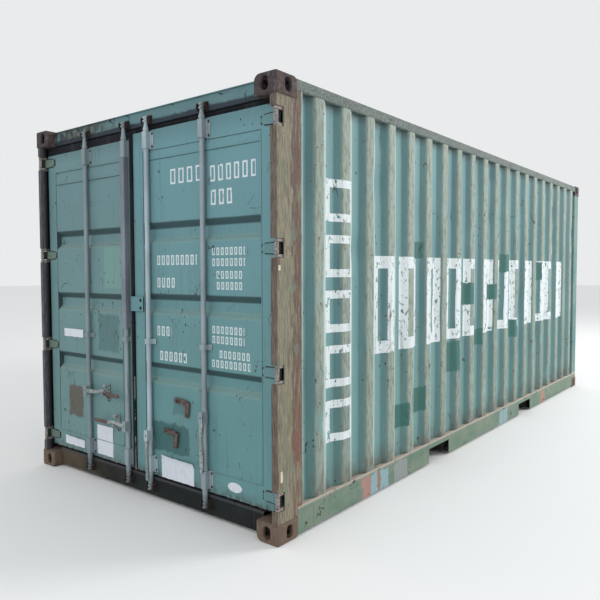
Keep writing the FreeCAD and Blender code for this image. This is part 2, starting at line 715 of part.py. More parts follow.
def overlap_plate():
    """A plate on the right leaf that reaches across the gap between the leaves."""
    front = LEAF_DEPTH - OVERLAP_LIFT
    back = front + OVERLAP_THICK
    z0, z1 = OVERLAP_Z
    plate = door_box(front, back, OVERLAP_ROOT_Y, LEFT_LEAF_INNER_Y - OVERLAP_SHORT, z0, z1)
    foot = door_box(back, LEAF_DEPTH, OVERLAP_ROOT_Y, RIGHT_LEAF_INNER_Y,
                    z0 + OVERLAP_FOOT_IN, z1 - OVERLAP_FOOT_IN)
    return fuse([plate, foot])


def cam(z, towards):
    """A lobed cam on a rod's end; its lobe points inwards."""
    x = deep(ROD_DEPTH)
    z0, z1 = z - CAM_HIGH / 2, z + CAM_HIGH / 2
    body = rod(CAM_R, x, 0, z0, z1)
    lobe = box(x, x + CAM_LOBE, -CAM_LOBE_WIDE / 2, CAM_LOBE_WIDE / 2, z0, z1)
    neck = rod(CAM_NECK_R, x, 0, min(z, towards), max(z, towards))
    return [body, lobe, neck]


def lock_rod(n):
    """Pipe, end cams and the hub that carries the handle's pin."""
    x, y, z = deep(ROD_DEPTH), ROD_Y[n], HANDLE_Z[n]
    pieces = [rod(ROD_R, x, 0, ROD_LOW, ROD_HIGH)]
    pieces += cam(TOP_CAM_Z, ROD_HIGH - CAM_OVERLAP) + cam(BOTTOM_CAM_Z, ROD_LOW + CAM_OVERLAP)
    z0, z1 = z - HUB_HIGH / 2, z + HUB_HIGH / 2
    front = HANDLE_FRONT + HANDLE_THICK + HUB_GAP
    pieces.append(door_box(front, ROD_DEPTH + HUB_BACK, -HUB_HALF, HUB_HALF, z0, z1))
    pieces.append(Part.makeCylinder(HANDLE_PIN_R, ROD_DEPTH - PIN_FACE_DEPTH,
                                    Vector(deep(PIN_FACE_DEPTH), 0, z), Vector(1, 0, 0)))
    shape = fuse(pieces)
    shape.translate(Vector(0, y, 0))
    return shape


def handle(n):
    """A flat forged lever with an eye round the hub's pin, drawn hanging, then turned."""
    y, z, long = ROD_Y[n], HANDLE_Z[n], HANDLE_LONG[n]
    d0, d1 = HANDLE_FRONT, HANDLE_FRONT + HANDLE_THICK
    half, neck = HANDLE_WIDE / 2, HANDLE_NECK / 2
    eye = Part.makeCylinder(half + HANDLE_EYE_RIM, HANDLE_THICK, Vector(deep(d0), y, z), Vector(1, 0, 0))
    taper = long * HANDLE_TAPER_AT
    flare = taper + HANDLE_NECK_LONG
    full = flare + HANDLE_FLARE_LONG
    one_side = [(half, 0), (neck, taper), (neck, flare), (half, full), (half, long - HANDLE_TIP_LONG),
                (half - HANDLE_TIP_IN, long)]
    outline = one_side + [(-a, b) for a, b in one_side[::-1]]
    bar = prism([(deep(d0), y + a, z - b) for a, b in outline], (d1 - d0, 0, 0))
    lever = fuse([eye, bar])
    bore = Part.makeCylinder(HANDLE_PIN_R + PIN_FIT, 40, Vector(deep(-5), y, z), Vector(1, 0, 0))
    lever = lever.cut(bore)
    if not HANDLE_HANGS[n]:
        lever.rotate(Vector(deep(0), y, z), Vector(1, 0, 0), 90 * HANDLE_DIR[n])
    return lever


def shelf_catch(n):
    """A plate on the leaf, and on it a shelf that a latched handle lies on."""
    y, z = CATCH_Y[n], HANDLE_Z[n]
    half = CATCH_WIDE / 2
    back = door_box(LEAF_DEPTH - CATCH_PLATE, LEAF_DEPTH, y - half, y + half,
                    z - CATCH_HIGH / 2, z + CATCH_HIGH / 2)
    top = z - HANDLE_WIDE / 2 - SHELF_GAP
    shelf = door_box(HANDLE_FRONT, LEAF_DEPTH - CATCH_PLATE, y - SHELF_WIDE / 2, y + SHELF_WIDE / 2,
                     top - SHELF_HIGH, top)
    return [back, shelf]


def hook_catch(n):
    """A bent bar on the leaf: a level arm with a leg down from its outer end."""
    y, z = HOOK_CORNER[n]
    end = y - HOOK_ARM
    leg, foot = end + HOOK_LEAN, z - HOOK_DROP
    outline = [(y, z), (end, z - HOOK_SAG), (leg, foot), (leg + HOOK_BAR, foot),
               (end + HOOK_BAR, z - HOOK_BAR - HOOK_BEND), (y, z - HOOK_BAR)]
    return [prism([(deep(LEAF_DEPTH - HOOK_THICK), a, b) for a, b in outline], (HOOK_THICK, 0, 0))]


def handle_catches(side):
    rods = [n for n in ROD_Y if leaf_of(n) == side]
    return group([s for n in rods for s in (shelf_catch(n) if n in CATCH_Y else hook_catch(n))])


def keeper(y, z, depth):
    """Two cheeks on a base plate, open to the front, one each side of a cam."""
    z0, z1 = z - KEEPER_HIGH / 2, z + KEEPER_HIGH / 2
    half = KEEPER_CLEAR + KEEPER_PLATE
    base = door_box(depth - KEEPER_BASE, depth, y - half, y + half, z0, z1)
    cheeks = [door_box(depth - KEEPER_REACH, depth, y + s * KEEPER_CLEAR, y + s * half, z0, z1)
              for s in (-1, 1)]
    return fuse([base] + cheeks)


def cam_keepers():
    tops = [keeper(y, TOP_CAM_Z, HEADER_DEPTH) for y in ROD_Y.values()]
    lows = [keeper(y, BOTTOM_CAM_Z, SILL_DEPTH) for y in ROD_Y.values()]
    return group(tops + lows)


# ---------------------------------------------------------------- the model
def model():
    post, front, wall = door_post_right(), front_post_right(), side_wall_right()
    top_rail, low_rail = top_side_rail_right(), bottom_side_rail_right()
    nodes = {
        "corner_castings_bottom": castings(False),
        "corner_castings_top": castings(True),
        "door_post_right": post,
        "door_post_left": mirror_y(post),
        "front_post_right": front,
        "front_post_left": mirror_y(front),
        "top_side_rail_right": top_rail,
        "top_side_rail_left": mirror_y(top_rail),
        "bottom_side_rail_right": low_rail,
        "bottom_side_rail_left": mirror_y(low_rail),
        "side_wall_right": wall,
        "side_wall_left": mirror_y(wall),
        "door_header": door_header(),
        "door_sill": door_sill(),
        "front_top_rail": front_top_rail(),
        "front_bottom_rail": front_bottom_rail(),
        "front_wall": front_wall(),
        "roof_panel": roof_panel(),
        "floor_boards": floor_boards(),
        "cross_members": cross_members(),
        "fork_pocket_sides": fork_pocket_sides(),
        "fork_pocket_tops": fork_pocket_tops(),
        "hinge_lugs": hinge_lugs(),
        "cam_keepers": cam_keepers(),
        "rod_guard": rod_guard(),
        "overlap_plate": overlap_plate(),
    }
    for side, name in ((1, "left"), (-1, "right")):
        nodes["door_frame_" + name] = leaf_frame(side)
        nodes["door_panel_" + name] = leaf_panel(side)
        nodes["door_gasket_" + name] = leaf_gasket(side)
        nodes["hinge_blades_" + name] = hinge_blades(side)
        nodes["rod_brackets_" + name] = rod_brackets(side)
        nodes["handle_catches_" + name] = handle_catches(side)
    for n in ROD_Y:
        nodes["lock_rod_%d" % n] = lock_rod(n)
        nodes["rod_handle_%d" % n] = handle(n)
    return nodes


os.makedirs(PARTS, exist_ok=True)
for name, shape in model().items():
    shape.exportStep(os.path.join(PARTS, name + ".step"))
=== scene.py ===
# Looks of the twenty-foot freight container: detailed sheets, forgings, rubber, paint,
# rust and wear, built round the CAD frame.  Metres.  +X runs from the door end to the
# closed end, +Y to the left as one faces the doors, +Z up.

import json
import math

import bmesh
import bpy
import numpy as np
from mathutils import Matrix, Vector, noise


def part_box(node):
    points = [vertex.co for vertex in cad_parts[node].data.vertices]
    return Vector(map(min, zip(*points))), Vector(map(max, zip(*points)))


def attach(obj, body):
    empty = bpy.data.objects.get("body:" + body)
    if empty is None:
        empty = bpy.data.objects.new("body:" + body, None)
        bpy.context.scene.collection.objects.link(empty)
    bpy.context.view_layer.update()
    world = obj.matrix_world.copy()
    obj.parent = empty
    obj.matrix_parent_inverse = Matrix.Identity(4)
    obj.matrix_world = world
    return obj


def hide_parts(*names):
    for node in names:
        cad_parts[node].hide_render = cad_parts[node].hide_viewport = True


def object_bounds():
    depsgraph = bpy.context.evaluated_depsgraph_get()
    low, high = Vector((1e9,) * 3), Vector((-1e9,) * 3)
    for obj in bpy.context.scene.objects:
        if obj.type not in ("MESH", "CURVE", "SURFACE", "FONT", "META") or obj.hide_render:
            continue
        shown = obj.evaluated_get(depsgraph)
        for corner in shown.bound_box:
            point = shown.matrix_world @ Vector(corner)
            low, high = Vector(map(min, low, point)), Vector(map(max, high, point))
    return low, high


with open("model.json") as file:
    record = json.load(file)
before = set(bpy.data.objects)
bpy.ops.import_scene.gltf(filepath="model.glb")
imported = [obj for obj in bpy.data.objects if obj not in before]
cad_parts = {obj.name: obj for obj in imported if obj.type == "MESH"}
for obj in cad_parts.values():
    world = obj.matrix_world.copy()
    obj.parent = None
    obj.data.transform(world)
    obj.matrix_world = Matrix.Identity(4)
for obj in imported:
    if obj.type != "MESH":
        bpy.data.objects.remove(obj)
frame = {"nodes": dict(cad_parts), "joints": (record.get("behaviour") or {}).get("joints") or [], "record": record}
cad_low, cad_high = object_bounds()

# ---------------------------------------------------------------- places taken from the frame
DOOR_X = cad_low.x
SIDE_Y = cad_high.y
SIDES = (("right", -1), ("left", 1))
JOINT = {joint["name"]: joint for joint in frame["joints"]}
ROD_AT = {n: Vector(JOINT["rod_%d_turn" % n]["pos_m"]) for n in (1, 2, 3, 4)}
PIVOT_AT = {n: Vector(JOINT["handle_%d_lift" % n]["pos_m"]) for n in (1, 2, 3, 4)}
PIN_AT = {side: Vector(JOINT["door_%s_hinge" % side]["pos_m"]) for side in ("left", "right")}
LEAF_FACE = DOOR_X + 0.060
LEAF_SEAT = LEAF_FACE - 0.0002
HEADER_FACE = DOOR_X + 0.062
HINGE_Z = (0.245, 0.953, 1.645, 2.352)
TOP_CAM_Z = 2.502
BOTTOM_CAM_Z = 0.084


# ---------------------------------------------------------------- mesh kit
class Shape:
    """Vertices and faces that grow piece by piece, with a material number for each face."""

    def __init__(self):
        self.points = []
        self.faces = []
        self.paints = []
        self.paint = 0

    def add(self, points, faces):
        base = len(self.points)
        self.points.extend(tuple(p) for p in points)
        for face in faces:
            self.faces.append(tuple(base + i for i in face))
            self.paints.append(self.paint)


def solid_mesh(name, shape):
    """A mesh from a Shape, with its faces turned outwards."""
    mesh = bpy.data.meshes.new(name)
    mesh.from_pydata(shape.points, [], shape.faces)
    mesh.polygons.foreach_set("material_index", shape.paints)
    work = bmesh.new()
    work.from_mesh(mesh)
    bmesh.ops.recalc_face_normals(work, faces=work.faces)
    work.to_mesh(mesh)
    work.free()
    return mesh


def put_in_scene(name, data):
    """A linked object that holds the data."""
    thing = bpy.data.objects.new(name, data)
    bpy.context.scene.collection.objects.link(thing)
    return thing


def make_piece(name, shape, body, slot, replaces=(), materials=None, crease=35.0):
    """A finished object from a Shape, riding on a body of the frame, in its slot's material."""
    mesh = solid_mesh(name, shape)
    for material in materials or [MATERIAL[slot]]:
        mesh.materials.append(material)
    mesh.shade_smooth()
    mesh.set_sharp_from_angle(angle=math.radians(crease))
    piece = put_in_scene(name, mesh)
    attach(piece, body)
    if replaces:
        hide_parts(*replaces)


def loft(shape, rings, caps=True):
    """Joins closed rings of equally many points with quads."""
    count = len(rings[0])
    points = [p for ring in rings for p in ring]
    faces = []
    for k in range(len(rings) - 1):
        for i in range(count):
            j = (i + 1) % count
            faces.append((k * count + i, k * count + j, (k + 1) * count + j, (k + 1) * count + i))
    if caps:
        faces.append(tuple(range(count))[::-1])
        faces.append(tuple((len(rings) - 1) * count + i for i in range(count)))
    shape.add(points, faces)


def inset(outline, distance):
    """A closed outline moved inwards along its mitres."""
    area = sum(a[0] * b[1] - b[0] * a[1] for a, b in zip(outline, outline[1:] + outline[:1]))
    sign = 1.0 if area > 0 else -1.0
    moved = []
    for i, point in enumerate(outline):
        before = Vector(point) - Vector(outline[i - 1])
        after = Vector(outline[(i + 1) % len(outline)]) - Vector(point)
        if before.length < 1e-9 or after.length < 1e-9:
            moved.append(tuple(point))
            continue
        n1 = Vector((-before.y, before.x)).normalized() * sign
        n2 = Vector((-after.y, after.x)).normalized() * sign
        middle = n1 + n2
        if middle.length < 1e-6:
            middle = n1
        middle = middle.normalized()
        moved.append(tuple(Vector(point) + middle * (distance / max(0.35, middle.dot(n1)))))
    return moved


AXIS_POINT = {
    "x": lambda u, v, w: (w, u, v),
    "y": lambda u, v, w: (u, w, v),
    "z": lambda u, v, w: (u, v, w),
}


def slab(shape, outline, axis, start, end, bevel=0.0015):
    """An outline pushed along an axis, with both rims bevelled."""
    place = AXIS_POINT[axis]
    step = bevel if end > start else -bevel
    small = inset(outline, bevel)
    layers = [(small, start), (outline, start + step), (outline, end - step), (small, end)]
    loft(shape, [[place(u, v, w) for u, v in ring] for ring, w in layers])


def steps_from(origin, *steps):
    """Points given by their steps from an origin."""
    return [(origin[0] + u, origin[1] + v) for u, v in steps]


def arc(centre, radius, first, last, steps):
    """Points on a circle from one angle to another, in degrees; radius may be a pair."""
    wide, high = radius if isinstance(radius, tuple) else (radius, radius)
    turns = [math.radians(first + (last - first) * k / steps) for k in range(steps + 1)]
    return [(centre[0] + wide * math.cos(t), centre[1] + high * math.sin(t)) for t in turns]


def rounded(u0, u1, v0, v1, radius, steps=3):
    """The outline of a rectangle with round corners."""
    u0, u1, v0, v1 = min(u0, u1), max(u0, u1), min(v0, v1), max(v0, v1)
    radius = min(radius, (u1 - u0) / 2.01, (v1 - v0) / 2.01)
    corners = ((u1 - radius, v0 + radius, -90), (u1 - radius, v1 - radius, 0),
               (u0 + radius, v1 - radius, 90), (u0 + radius, v0 + radius, 180))
    outline = []
    for cu, cv, first in corners:
        outline += arc((cu, cv), radius, first, first + 90, steps)
    return outline


def lathe(shape, profile, centre, axis="z", sides=20):
    """Turns (radius, along) pairs round an axis through centre."""
    rings = []
    for radius, along in profile:
        ring = []
        for k in range(sides):
            turn = 2 * math.pi * k / sides
            u, v = radius * math.cos(turn), radius * math.sin(turn)
            offset = {"z": (u, v, along), "x": (along, u, v), "y": (u, along, v)}[axis]
            ring.append(tuple(Vector(centre) + Vector(offset)))
        rings.append(ring)
    loft(shape, rings)


def sweep(shape, path, sections, side, corners=12, power=2.6):
    """A superelliptic bar along a path; sections are (half width, half depth) at each point."""
    side = Vector(side).normalized()
    rings = []
    for i, point in enumerate(path):
        ahead = Vector(path[min(i + 1, len(path) - 1)]) - Vector(path[max(i - 1, 0)])
        across = ahead.cross(side).normalized()
        wide, deep = sections[i]
        ring = []
        for k in range(corners):
            turn = 2 * math.pi * (k + 0.5) / corners
            c, s = math.cos(turn), math.sin(turn)
            u = math.copysign(abs(c) ** (2 / power), c) * wide
            v = math.copysign(abs(s) ** (2 / power), s) * deep
            ring.append(tuple(Vector(point) + across * u + side * v))
        rings.append(ring)
    loft(shape, rings)


def bead(shape, start, end, radius, side, step=0.03, seed=0.0):
    """A hand-laid weld bead: a thin bar whose thickness wanders."""
    start, end = Vector(start), Vector(end)
    count = max(3, int((end - start).length / step))
    path = []
    sections = []
    for k in range(count + 1):
        at = start.lerp(end, k / count)
        swell = 1.0 + 0.35 * noise.noise(at * 40 + Vector((seed, 0, 0)))
        path.append(tuple(at))
        sections.append((radius * swell, radius * swell))
    sweep(shape, path, sections, side, corners=6, power=2.0)


def bolt(shape, centre, out, radius, height):
    """A hexagon head on a washer, pointing along out, which is +1 or -1 along X or Y."""
    axis = "x" if abs(out[0]) > 0.5 else "y"
    sign = out[0] + out[1]
    lathe(shape, [(radius * 1.35, 0), (radius * 1.35, sign * height * 0.22),
                  (radius * 1.2, sign * height * 0.3)], centre, axis, 14)
    rings = []
    for size, along in ((1.0, 0.3), (1.0, 0.85), (0.8, 1.0)):
        ring = []
        for k in range(6):
            turn = math.radians(60 * k + 12)
            u, v = size * radius * math.cos(turn), size * radius * math.sin(turn)
            w = sign * height * along
            ring.append(tuple(Vector(centre) + Vector((w, u, v) if axis == "x" else (u, w, v))))
        rings.append(ring)
    loft(shape, rings)


def rounded_path(points, radius, steps=3):
    """An open polyline with its corners cut to short curves."""
    path = [points[0]]
    for before, point, after in zip(points, points[1:], points[2:]):
        a, b, c = Vector(before), Vector(point), Vector(after)
        if abs((b - a).normalized().cross((c - b).normalized())) < 0.01:
            path.append(point)
            continue
        reach = min(radius, (b - a).length * 0.45, (c - b).length * 0.45)
        first, last = b + (a - b).normalized() * reach, b + (c - b).normalized() * reach
        for k in range(steps + 1):
            t = k / steps
            path.append(tuple(first * (1 - t) ** 2 + b * 2 * t * (1 - t) + last * t * t))
    path.append(points[-1])
    return path


def divided(path, longest):
    """The same polyline with long runs split."""
    finer = [path[0]]
    for a, b in zip(path, path[1:]):
        a, b = Vector(a), Vector(b)
        parts = max(1, math.ceil((b - a).length / longest))
        finer += [tuple(a.lerp(b, (k + 1) / parts)) for k in range(parts)]
    return finer


def folded_sheet(shape, path, low, high, rows, place, thickness, dent):
    """A folded sheet with both faces.  path holds (along, out) pairs, place maps
    (along, out, across) to a point, dent gives the inward shift at (along, across)."""
    path = np.array(path)
    ahead = np.gradient(path, axis=0)
    normal = np.stack([ahead[:, 1], -ahead[:, 0]], 1)
    normal /= np.linalg.norm(normal, axis=1)[:, None]
    if normal[:, 1].mean() > 0:
        normal = -normal
    back = path + normal * thickness
    across = np.linspace(low, high, rows)
    rings = []
    for level in across:
        outer = [place(a, b - dent(a, level), level) for a, b in path]
        inner = [place(a, b - dent(a, level), level) for a, b in back]
        rings.append(outer + inner[::-1])
    loft(shape, rings, caps=False)
    count = len(path)
    base = len(shape.points) - rows * 2 * count
    for row in (0, rows - 1):
        for i in range(count - 1):
            at = base + row * 2 * count
            shape.faces.append((at + i, at + i + 1, at + 2 * count - 2 - i, at + 2 * count - 1 - i))
            shape.paints.append(shape.paint)


def dents(seed, spans, count, radii, depths, waves=0.0012):
    """A function giving the inward depth of hand-sized dents and gentle waves."""
    rng = np.random.default_rng(seed)
    (u0, u1), (v0, v1) = spans
    spots = [(rng.uniform(u0, u1), rng.uniform(v0, v1), rng.uniform(*radii), rng.uniform(*depths))
             for _ in range(count)]

    def depth(u, v):
        total = waves * (1.0 + noise.noise(Vector((u * 2.1, v * 1.7, seed))))
        edge = min(u - u0, u1 - u, v - v0, v1 - v)
        for su, sv, radius, deep in spots:
            away = ((u - su) ** 2 + (v - sv) ** 2) / (radius * radius)
            if away < 4:
                total += deep * math.exp(-1.6 * away)
        return total * min(1.0, max(0.0, edge / 0.05))
    return depth


# ---------------------------------------------------------------- shading kit
RUST_DARK = (0.042, 0.024, 0.018)
RUST_MID = (0.12, 0.055, 0.032)
RUST_LIGHT = (0.24, 0.125, 0.075)
# tint of the painted shadow under the top side rail
RAIL_SHADOW_TINT = (0.035, 0.035, 0.03)
WHITE_PAINT = (0.66, 0.72, 0.73)
TOUCH_UP = (0.035, 0.125, 0.11)


class Paint:
    """Builds one procedural material, node by node."""

    def __init__(self, name):
        self.material = bpy.data.materials.new(name)
        self.material.use_nodes = True
        self.colour = (0.5, 0.5, 0.5)
        self.tree = self.material.node_tree
        self.tree.nodes.clear()
        self.surface = self.tree.nodes.new("ShaderNodeBsdfPrincipled")
        output = self.tree.nodes.new("ShaderNodeOutputMaterial")
        self.tree.links.new(self.surface.outputs[0], output.inputs[0])
        source = self.tree.nodes.new("ShaderNodeTexCoord")
        self.place = source.outputs["Object"]
        self.x, self.y, self.z = self.split(self.place)
        self.nx, self.ny, self.nz = self.split(source.outputs["Normal"])

    def split(self, vector):
        node = self.tree.nodes.new("ShaderNodeSeparateXYZ")
        self.tree.links.new(vector, node.inputs[0])
        return node.outputs[0], node.outputs[1], node.outputs[2]

    def set(self, socket, value):
        """Links an output to a socket, or sets a plain value on it."""
        if isinstance(value, bpy.types.NodeSocket):
            self.tree.links.new(value, socket)
        elif isinstance(value, tuple) and len(value) == 3 and socket.type == "RGBA":
            socket.default_value = (*value, 1.0)
        else:
            socket.default_value = value

    def math(self, operation, a, b=0.0, clamp=False):
        node = self.tree.nodes.new("ShaderNodeMath")
        node.operation = operation
        node.use_clamp = clamp
        self.set(node.inputs[0], a)
        self.set(node.inputs[1], b)
        return node.outputs[0]

    def times(self, first, *others):
        for other in others:
            first = self.math("MULTIPLY", first, other)
        return first

    def plus(self, a, b):
        return self.math("ADD", a, b)

    def highest(self, first, *others):
        for other in others:
            first = self.math("MAXIMUM", first, other)
        return first

    def minus(self, a, b):
        return self.math("SUBTRACT", a, b)

    def size(self, value):
        return self.math("ABSOLUTE", value)

    def inverse(self, value):
        return self.math("SUBTRACT", 1.0, value, clamp=True)

    def step(self, value, low, high):
        """0 below low, 1 above high, smooth between; falls instead where low is above high."""
        node = self.tree.nodes.new("ShaderNodeMapRange")
        node.interpolation_type = "SMOOTHSTEP"
        falls = low > high
        self.set(node.inputs[0], value)
        node.inputs[1].default_value = high if falls else low
        node.inputs[2].default_value = low if falls else high
        node.inputs[3].default_value = 1.0 if falls else 0.0
        node.inputs[4].default_value = 0.0 if falls else 1.0
        return node.outputs[0]

    def noise(self, size, tall=1, detail=3.0, rough=0.55, seed=0.0, bend=0.0, stretch=None):
        """Noise with features of a size in metres, tall times higher or drawn out by stretch."""
        scale = self.tree.nodes.new("ShaderNodeVectorMath")
        scale.operation = "MULTIPLY_ADD"
        self.tree.links.new(self.place, scale.inputs[0])
        scale.inputs[1].default_value = [1.0 / (size * s) for s in stretch or (1, 1, tall)]
        scale.inputs[2].default_value = (seed, seed * 1.7, seed * 0.6)
        node = self.tree.nodes.new("ShaderNodeTexNoise")
        self.tree.links.new(scale.outputs[0], node.inputs["Vector"])
        node.inputs["Scale"].default_value = 1.0
        node.inputs["Detail"].default_value = detail
        node.inputs["Roughness"].default_value = rough
        node.inputs["Distortion"].default_value = bend
        return node.outputs[0]

    def mix(self, share, a, b):
        node = self.tree.nodes.new("ShaderNodeMix")
        node.data_type = "RGBA"
        self.set(node.inputs[0], share)
        self.set(node.inputs[6], a)
        self.set(node.inputs[7], b)
        return node.outputs[2]

    def scaled(self, colour, factor):
        """A colour made lighter or darker by a factor."""
        node = self.tree.nodes.new("ShaderNodeVectorMath")
        node.operation = "SCALE"
        self.set(node.inputs[0], colour)
        self.set(node.inputs[3], factor)
        return node.outputs[0]

    def apart(self, a, b):
        """The distance between two values."""
        return self.math("ABSOLUTE", self.math("SUBTRACT", a, b))

    def beyond(self, value, low, high):
        """How far a value lies outside a span; negative inside it."""
        return self.minus(self.apart(value, (low + high) / 2), abs(high - low) / 2)

    def block(self, u, v, u0, u1, v0, v1, ragged=None, soft=0.006):
        """A mask over a rectangle in two coordinates, its edges moved by ragged."""
        away = self.highest(self.beyond(u, u0, u1), self.beyond(v, v0, v1))
        if ragged is not None:
            away = self.plus(away, ragged)
        return self.step(away, soft / 2, -soft / 2)

    def blocks(self, u, v, spans, ragged=None, soft=0.006):
        """Several rectangles, each (u0, u1, v0, v1), as one mask."""
        found = [self.block(u, v, *span, ragged, soft) for span in spans]
        return self.highest(*found) if len(found) > 1 else found[0]

    def boxes(self, u, v, u0, u1, v0, v1, pitch, share, stroke):
        """A row of hollow upright boxes drawn with a thin stroke."""
        phase = self.times(self.math("FRACT", self.math("DIVIDE", self.math("SUBTRACT", u, u0), pitch)),
                           pitch)
        away = self.highest(self.beyond(phase, 0.0, share * pitch), self.beyond(v, v0, v1))
        ring = self.step(self.apart(away, -stroke / 2), stroke / 2 + 0.001, stroke / 2 - 0.001)
        return self.times(ring, self.step(self.beyond(u, u0, u1), 0.001, -0.001))

    def rough_edge(self, size=0.03, reach=0.02, seed=3.0):
        """A small wandering length, for ragged edges."""
        return self.times(self.minus(self.noise(size, seed=seed), 0.5), reach * 2)

    def lay(self, tint, *shares):
        """Covers the colour so far with a tint, as far as the product of the shares says."""
        self.colour = self.mix(self.times(*shares), self.colour, tint)

    def shade(self, factor):
        """Makes the colour so far lighter or darker by a factor."""
        self.colour = self.scaled(self.colour, factor)

    def rust(self, amount, seed=1.0, size=0.05):
        """Adds rust spots with darker hearts; returns the spots' mask."""
        spots = self.noise(size, detail=5, rough=0.62, seed=seed)
        where = self.noise(size * 9, detail=2, seed=seed + 4)
        gate = self.plus(spots, self.times(self.minus(where, 0.5), 0.55))
        mask = self.step(gate, 0.80 - amount, 0.84 - amount)
        heart = self.step(gate, 0.86 - amount, 0.95 - amount)
        self.lay(self.mix(heart, RUST_MID, RUST_DARK), mask)
        return mask

    def runs(self, amount, tint, seed=2.0, width=0.018):
        """Adds vertical runs of dirt or rust, drawn down the surface."""
        lines = self.noise(width, tall=26, detail=3, rough=0.6, seed=seed)
        area = self.noise(0.35, tall=2.2, detail=2, seed=seed + 3)
        self.lay(tint, self.step(lines, 0.52, 0.78), self.step(area, 0.45, 0.68), amount)

    def specks(self, size, seed):
        """Adds small dark chips with a brown halo; returns the chips' mask."""
        chips = self.noise(size, tall=1.7, detail=2, rough=0.5, seed=seed)
        area = self.noise(0.6, detail=2, seed=seed + 2)
        gate = self.plus(chips, self.times(self.minus(area, 0.5), 0.35))
        mask = self.step(gate, 0.735, 0.76)
        self.lay((0.13, 0.085, 0.055), self.step(gate, 0.70, 0.735), 0.45)
        self.lay((0.022, 0.026, 0.024), mask)
        return mask

    def scratches(self, tint, size, width, stretch=None, seed=5.0, strength=0.8):
        """Adds thin bent lines, found where a slow noise crosses its middle; returns their mask."""
        slow = self.noise(size, detail=2.0, rough=0.5, seed=seed, bend=0.6, stretch=stretch)
        lines = self.apart(slow, 0.5)
        gate = self.step(self.noise(size * 0.7, detail=2, seed=seed + 9), 0.56, 0.62)
        mask = self.times(self.step(lines, width, width * 0.35), gate, strength)
        self.lay(tint, mask)
        return mask

    def finish(self, roughness, height=None, metal=0.0, relief=0.001, gloss=0.28):
        """Wires up the colour so far and the rest of the surface; returns the material."""
        self.set(self.surface.inputs["Base Color"], self.colour)
        self.set(self.surface.inputs["Roughness"], roughness)
        self.set(self.surface.inputs["Metallic"], metal)
        self.set(self.surface.inputs["Specular IOR Level"], gloss)
        if height is not None:
            node = self.tree.nodes.new("ShaderNodeBump")
            node.inputs["Strength"].default_value = 1.0
            node.inputs["Distance"].default_value = relief
            self.set(node.inputs["Height"], height)
            self.tree.links.new(node.outputs[0], self.surface.inputs["Normal"])
        return self.material


# ---------------------------------------------------------------- materials
WALL_FACE = 1.211
WALL_DEPTH = 0.036
RIB_PITCH = 0.282
RIB_FIRST = -2.627
RIB_FLAT = 0.076
RIB_SLOPE = 0.068
RIB_COUNT = 20
RAIL_TOP = 2.522
RAIL_LOW = 0.174
WALL_THICK = 0.0016
SHEET_THICK = 0.002
ROOF_PITCH = 0.209


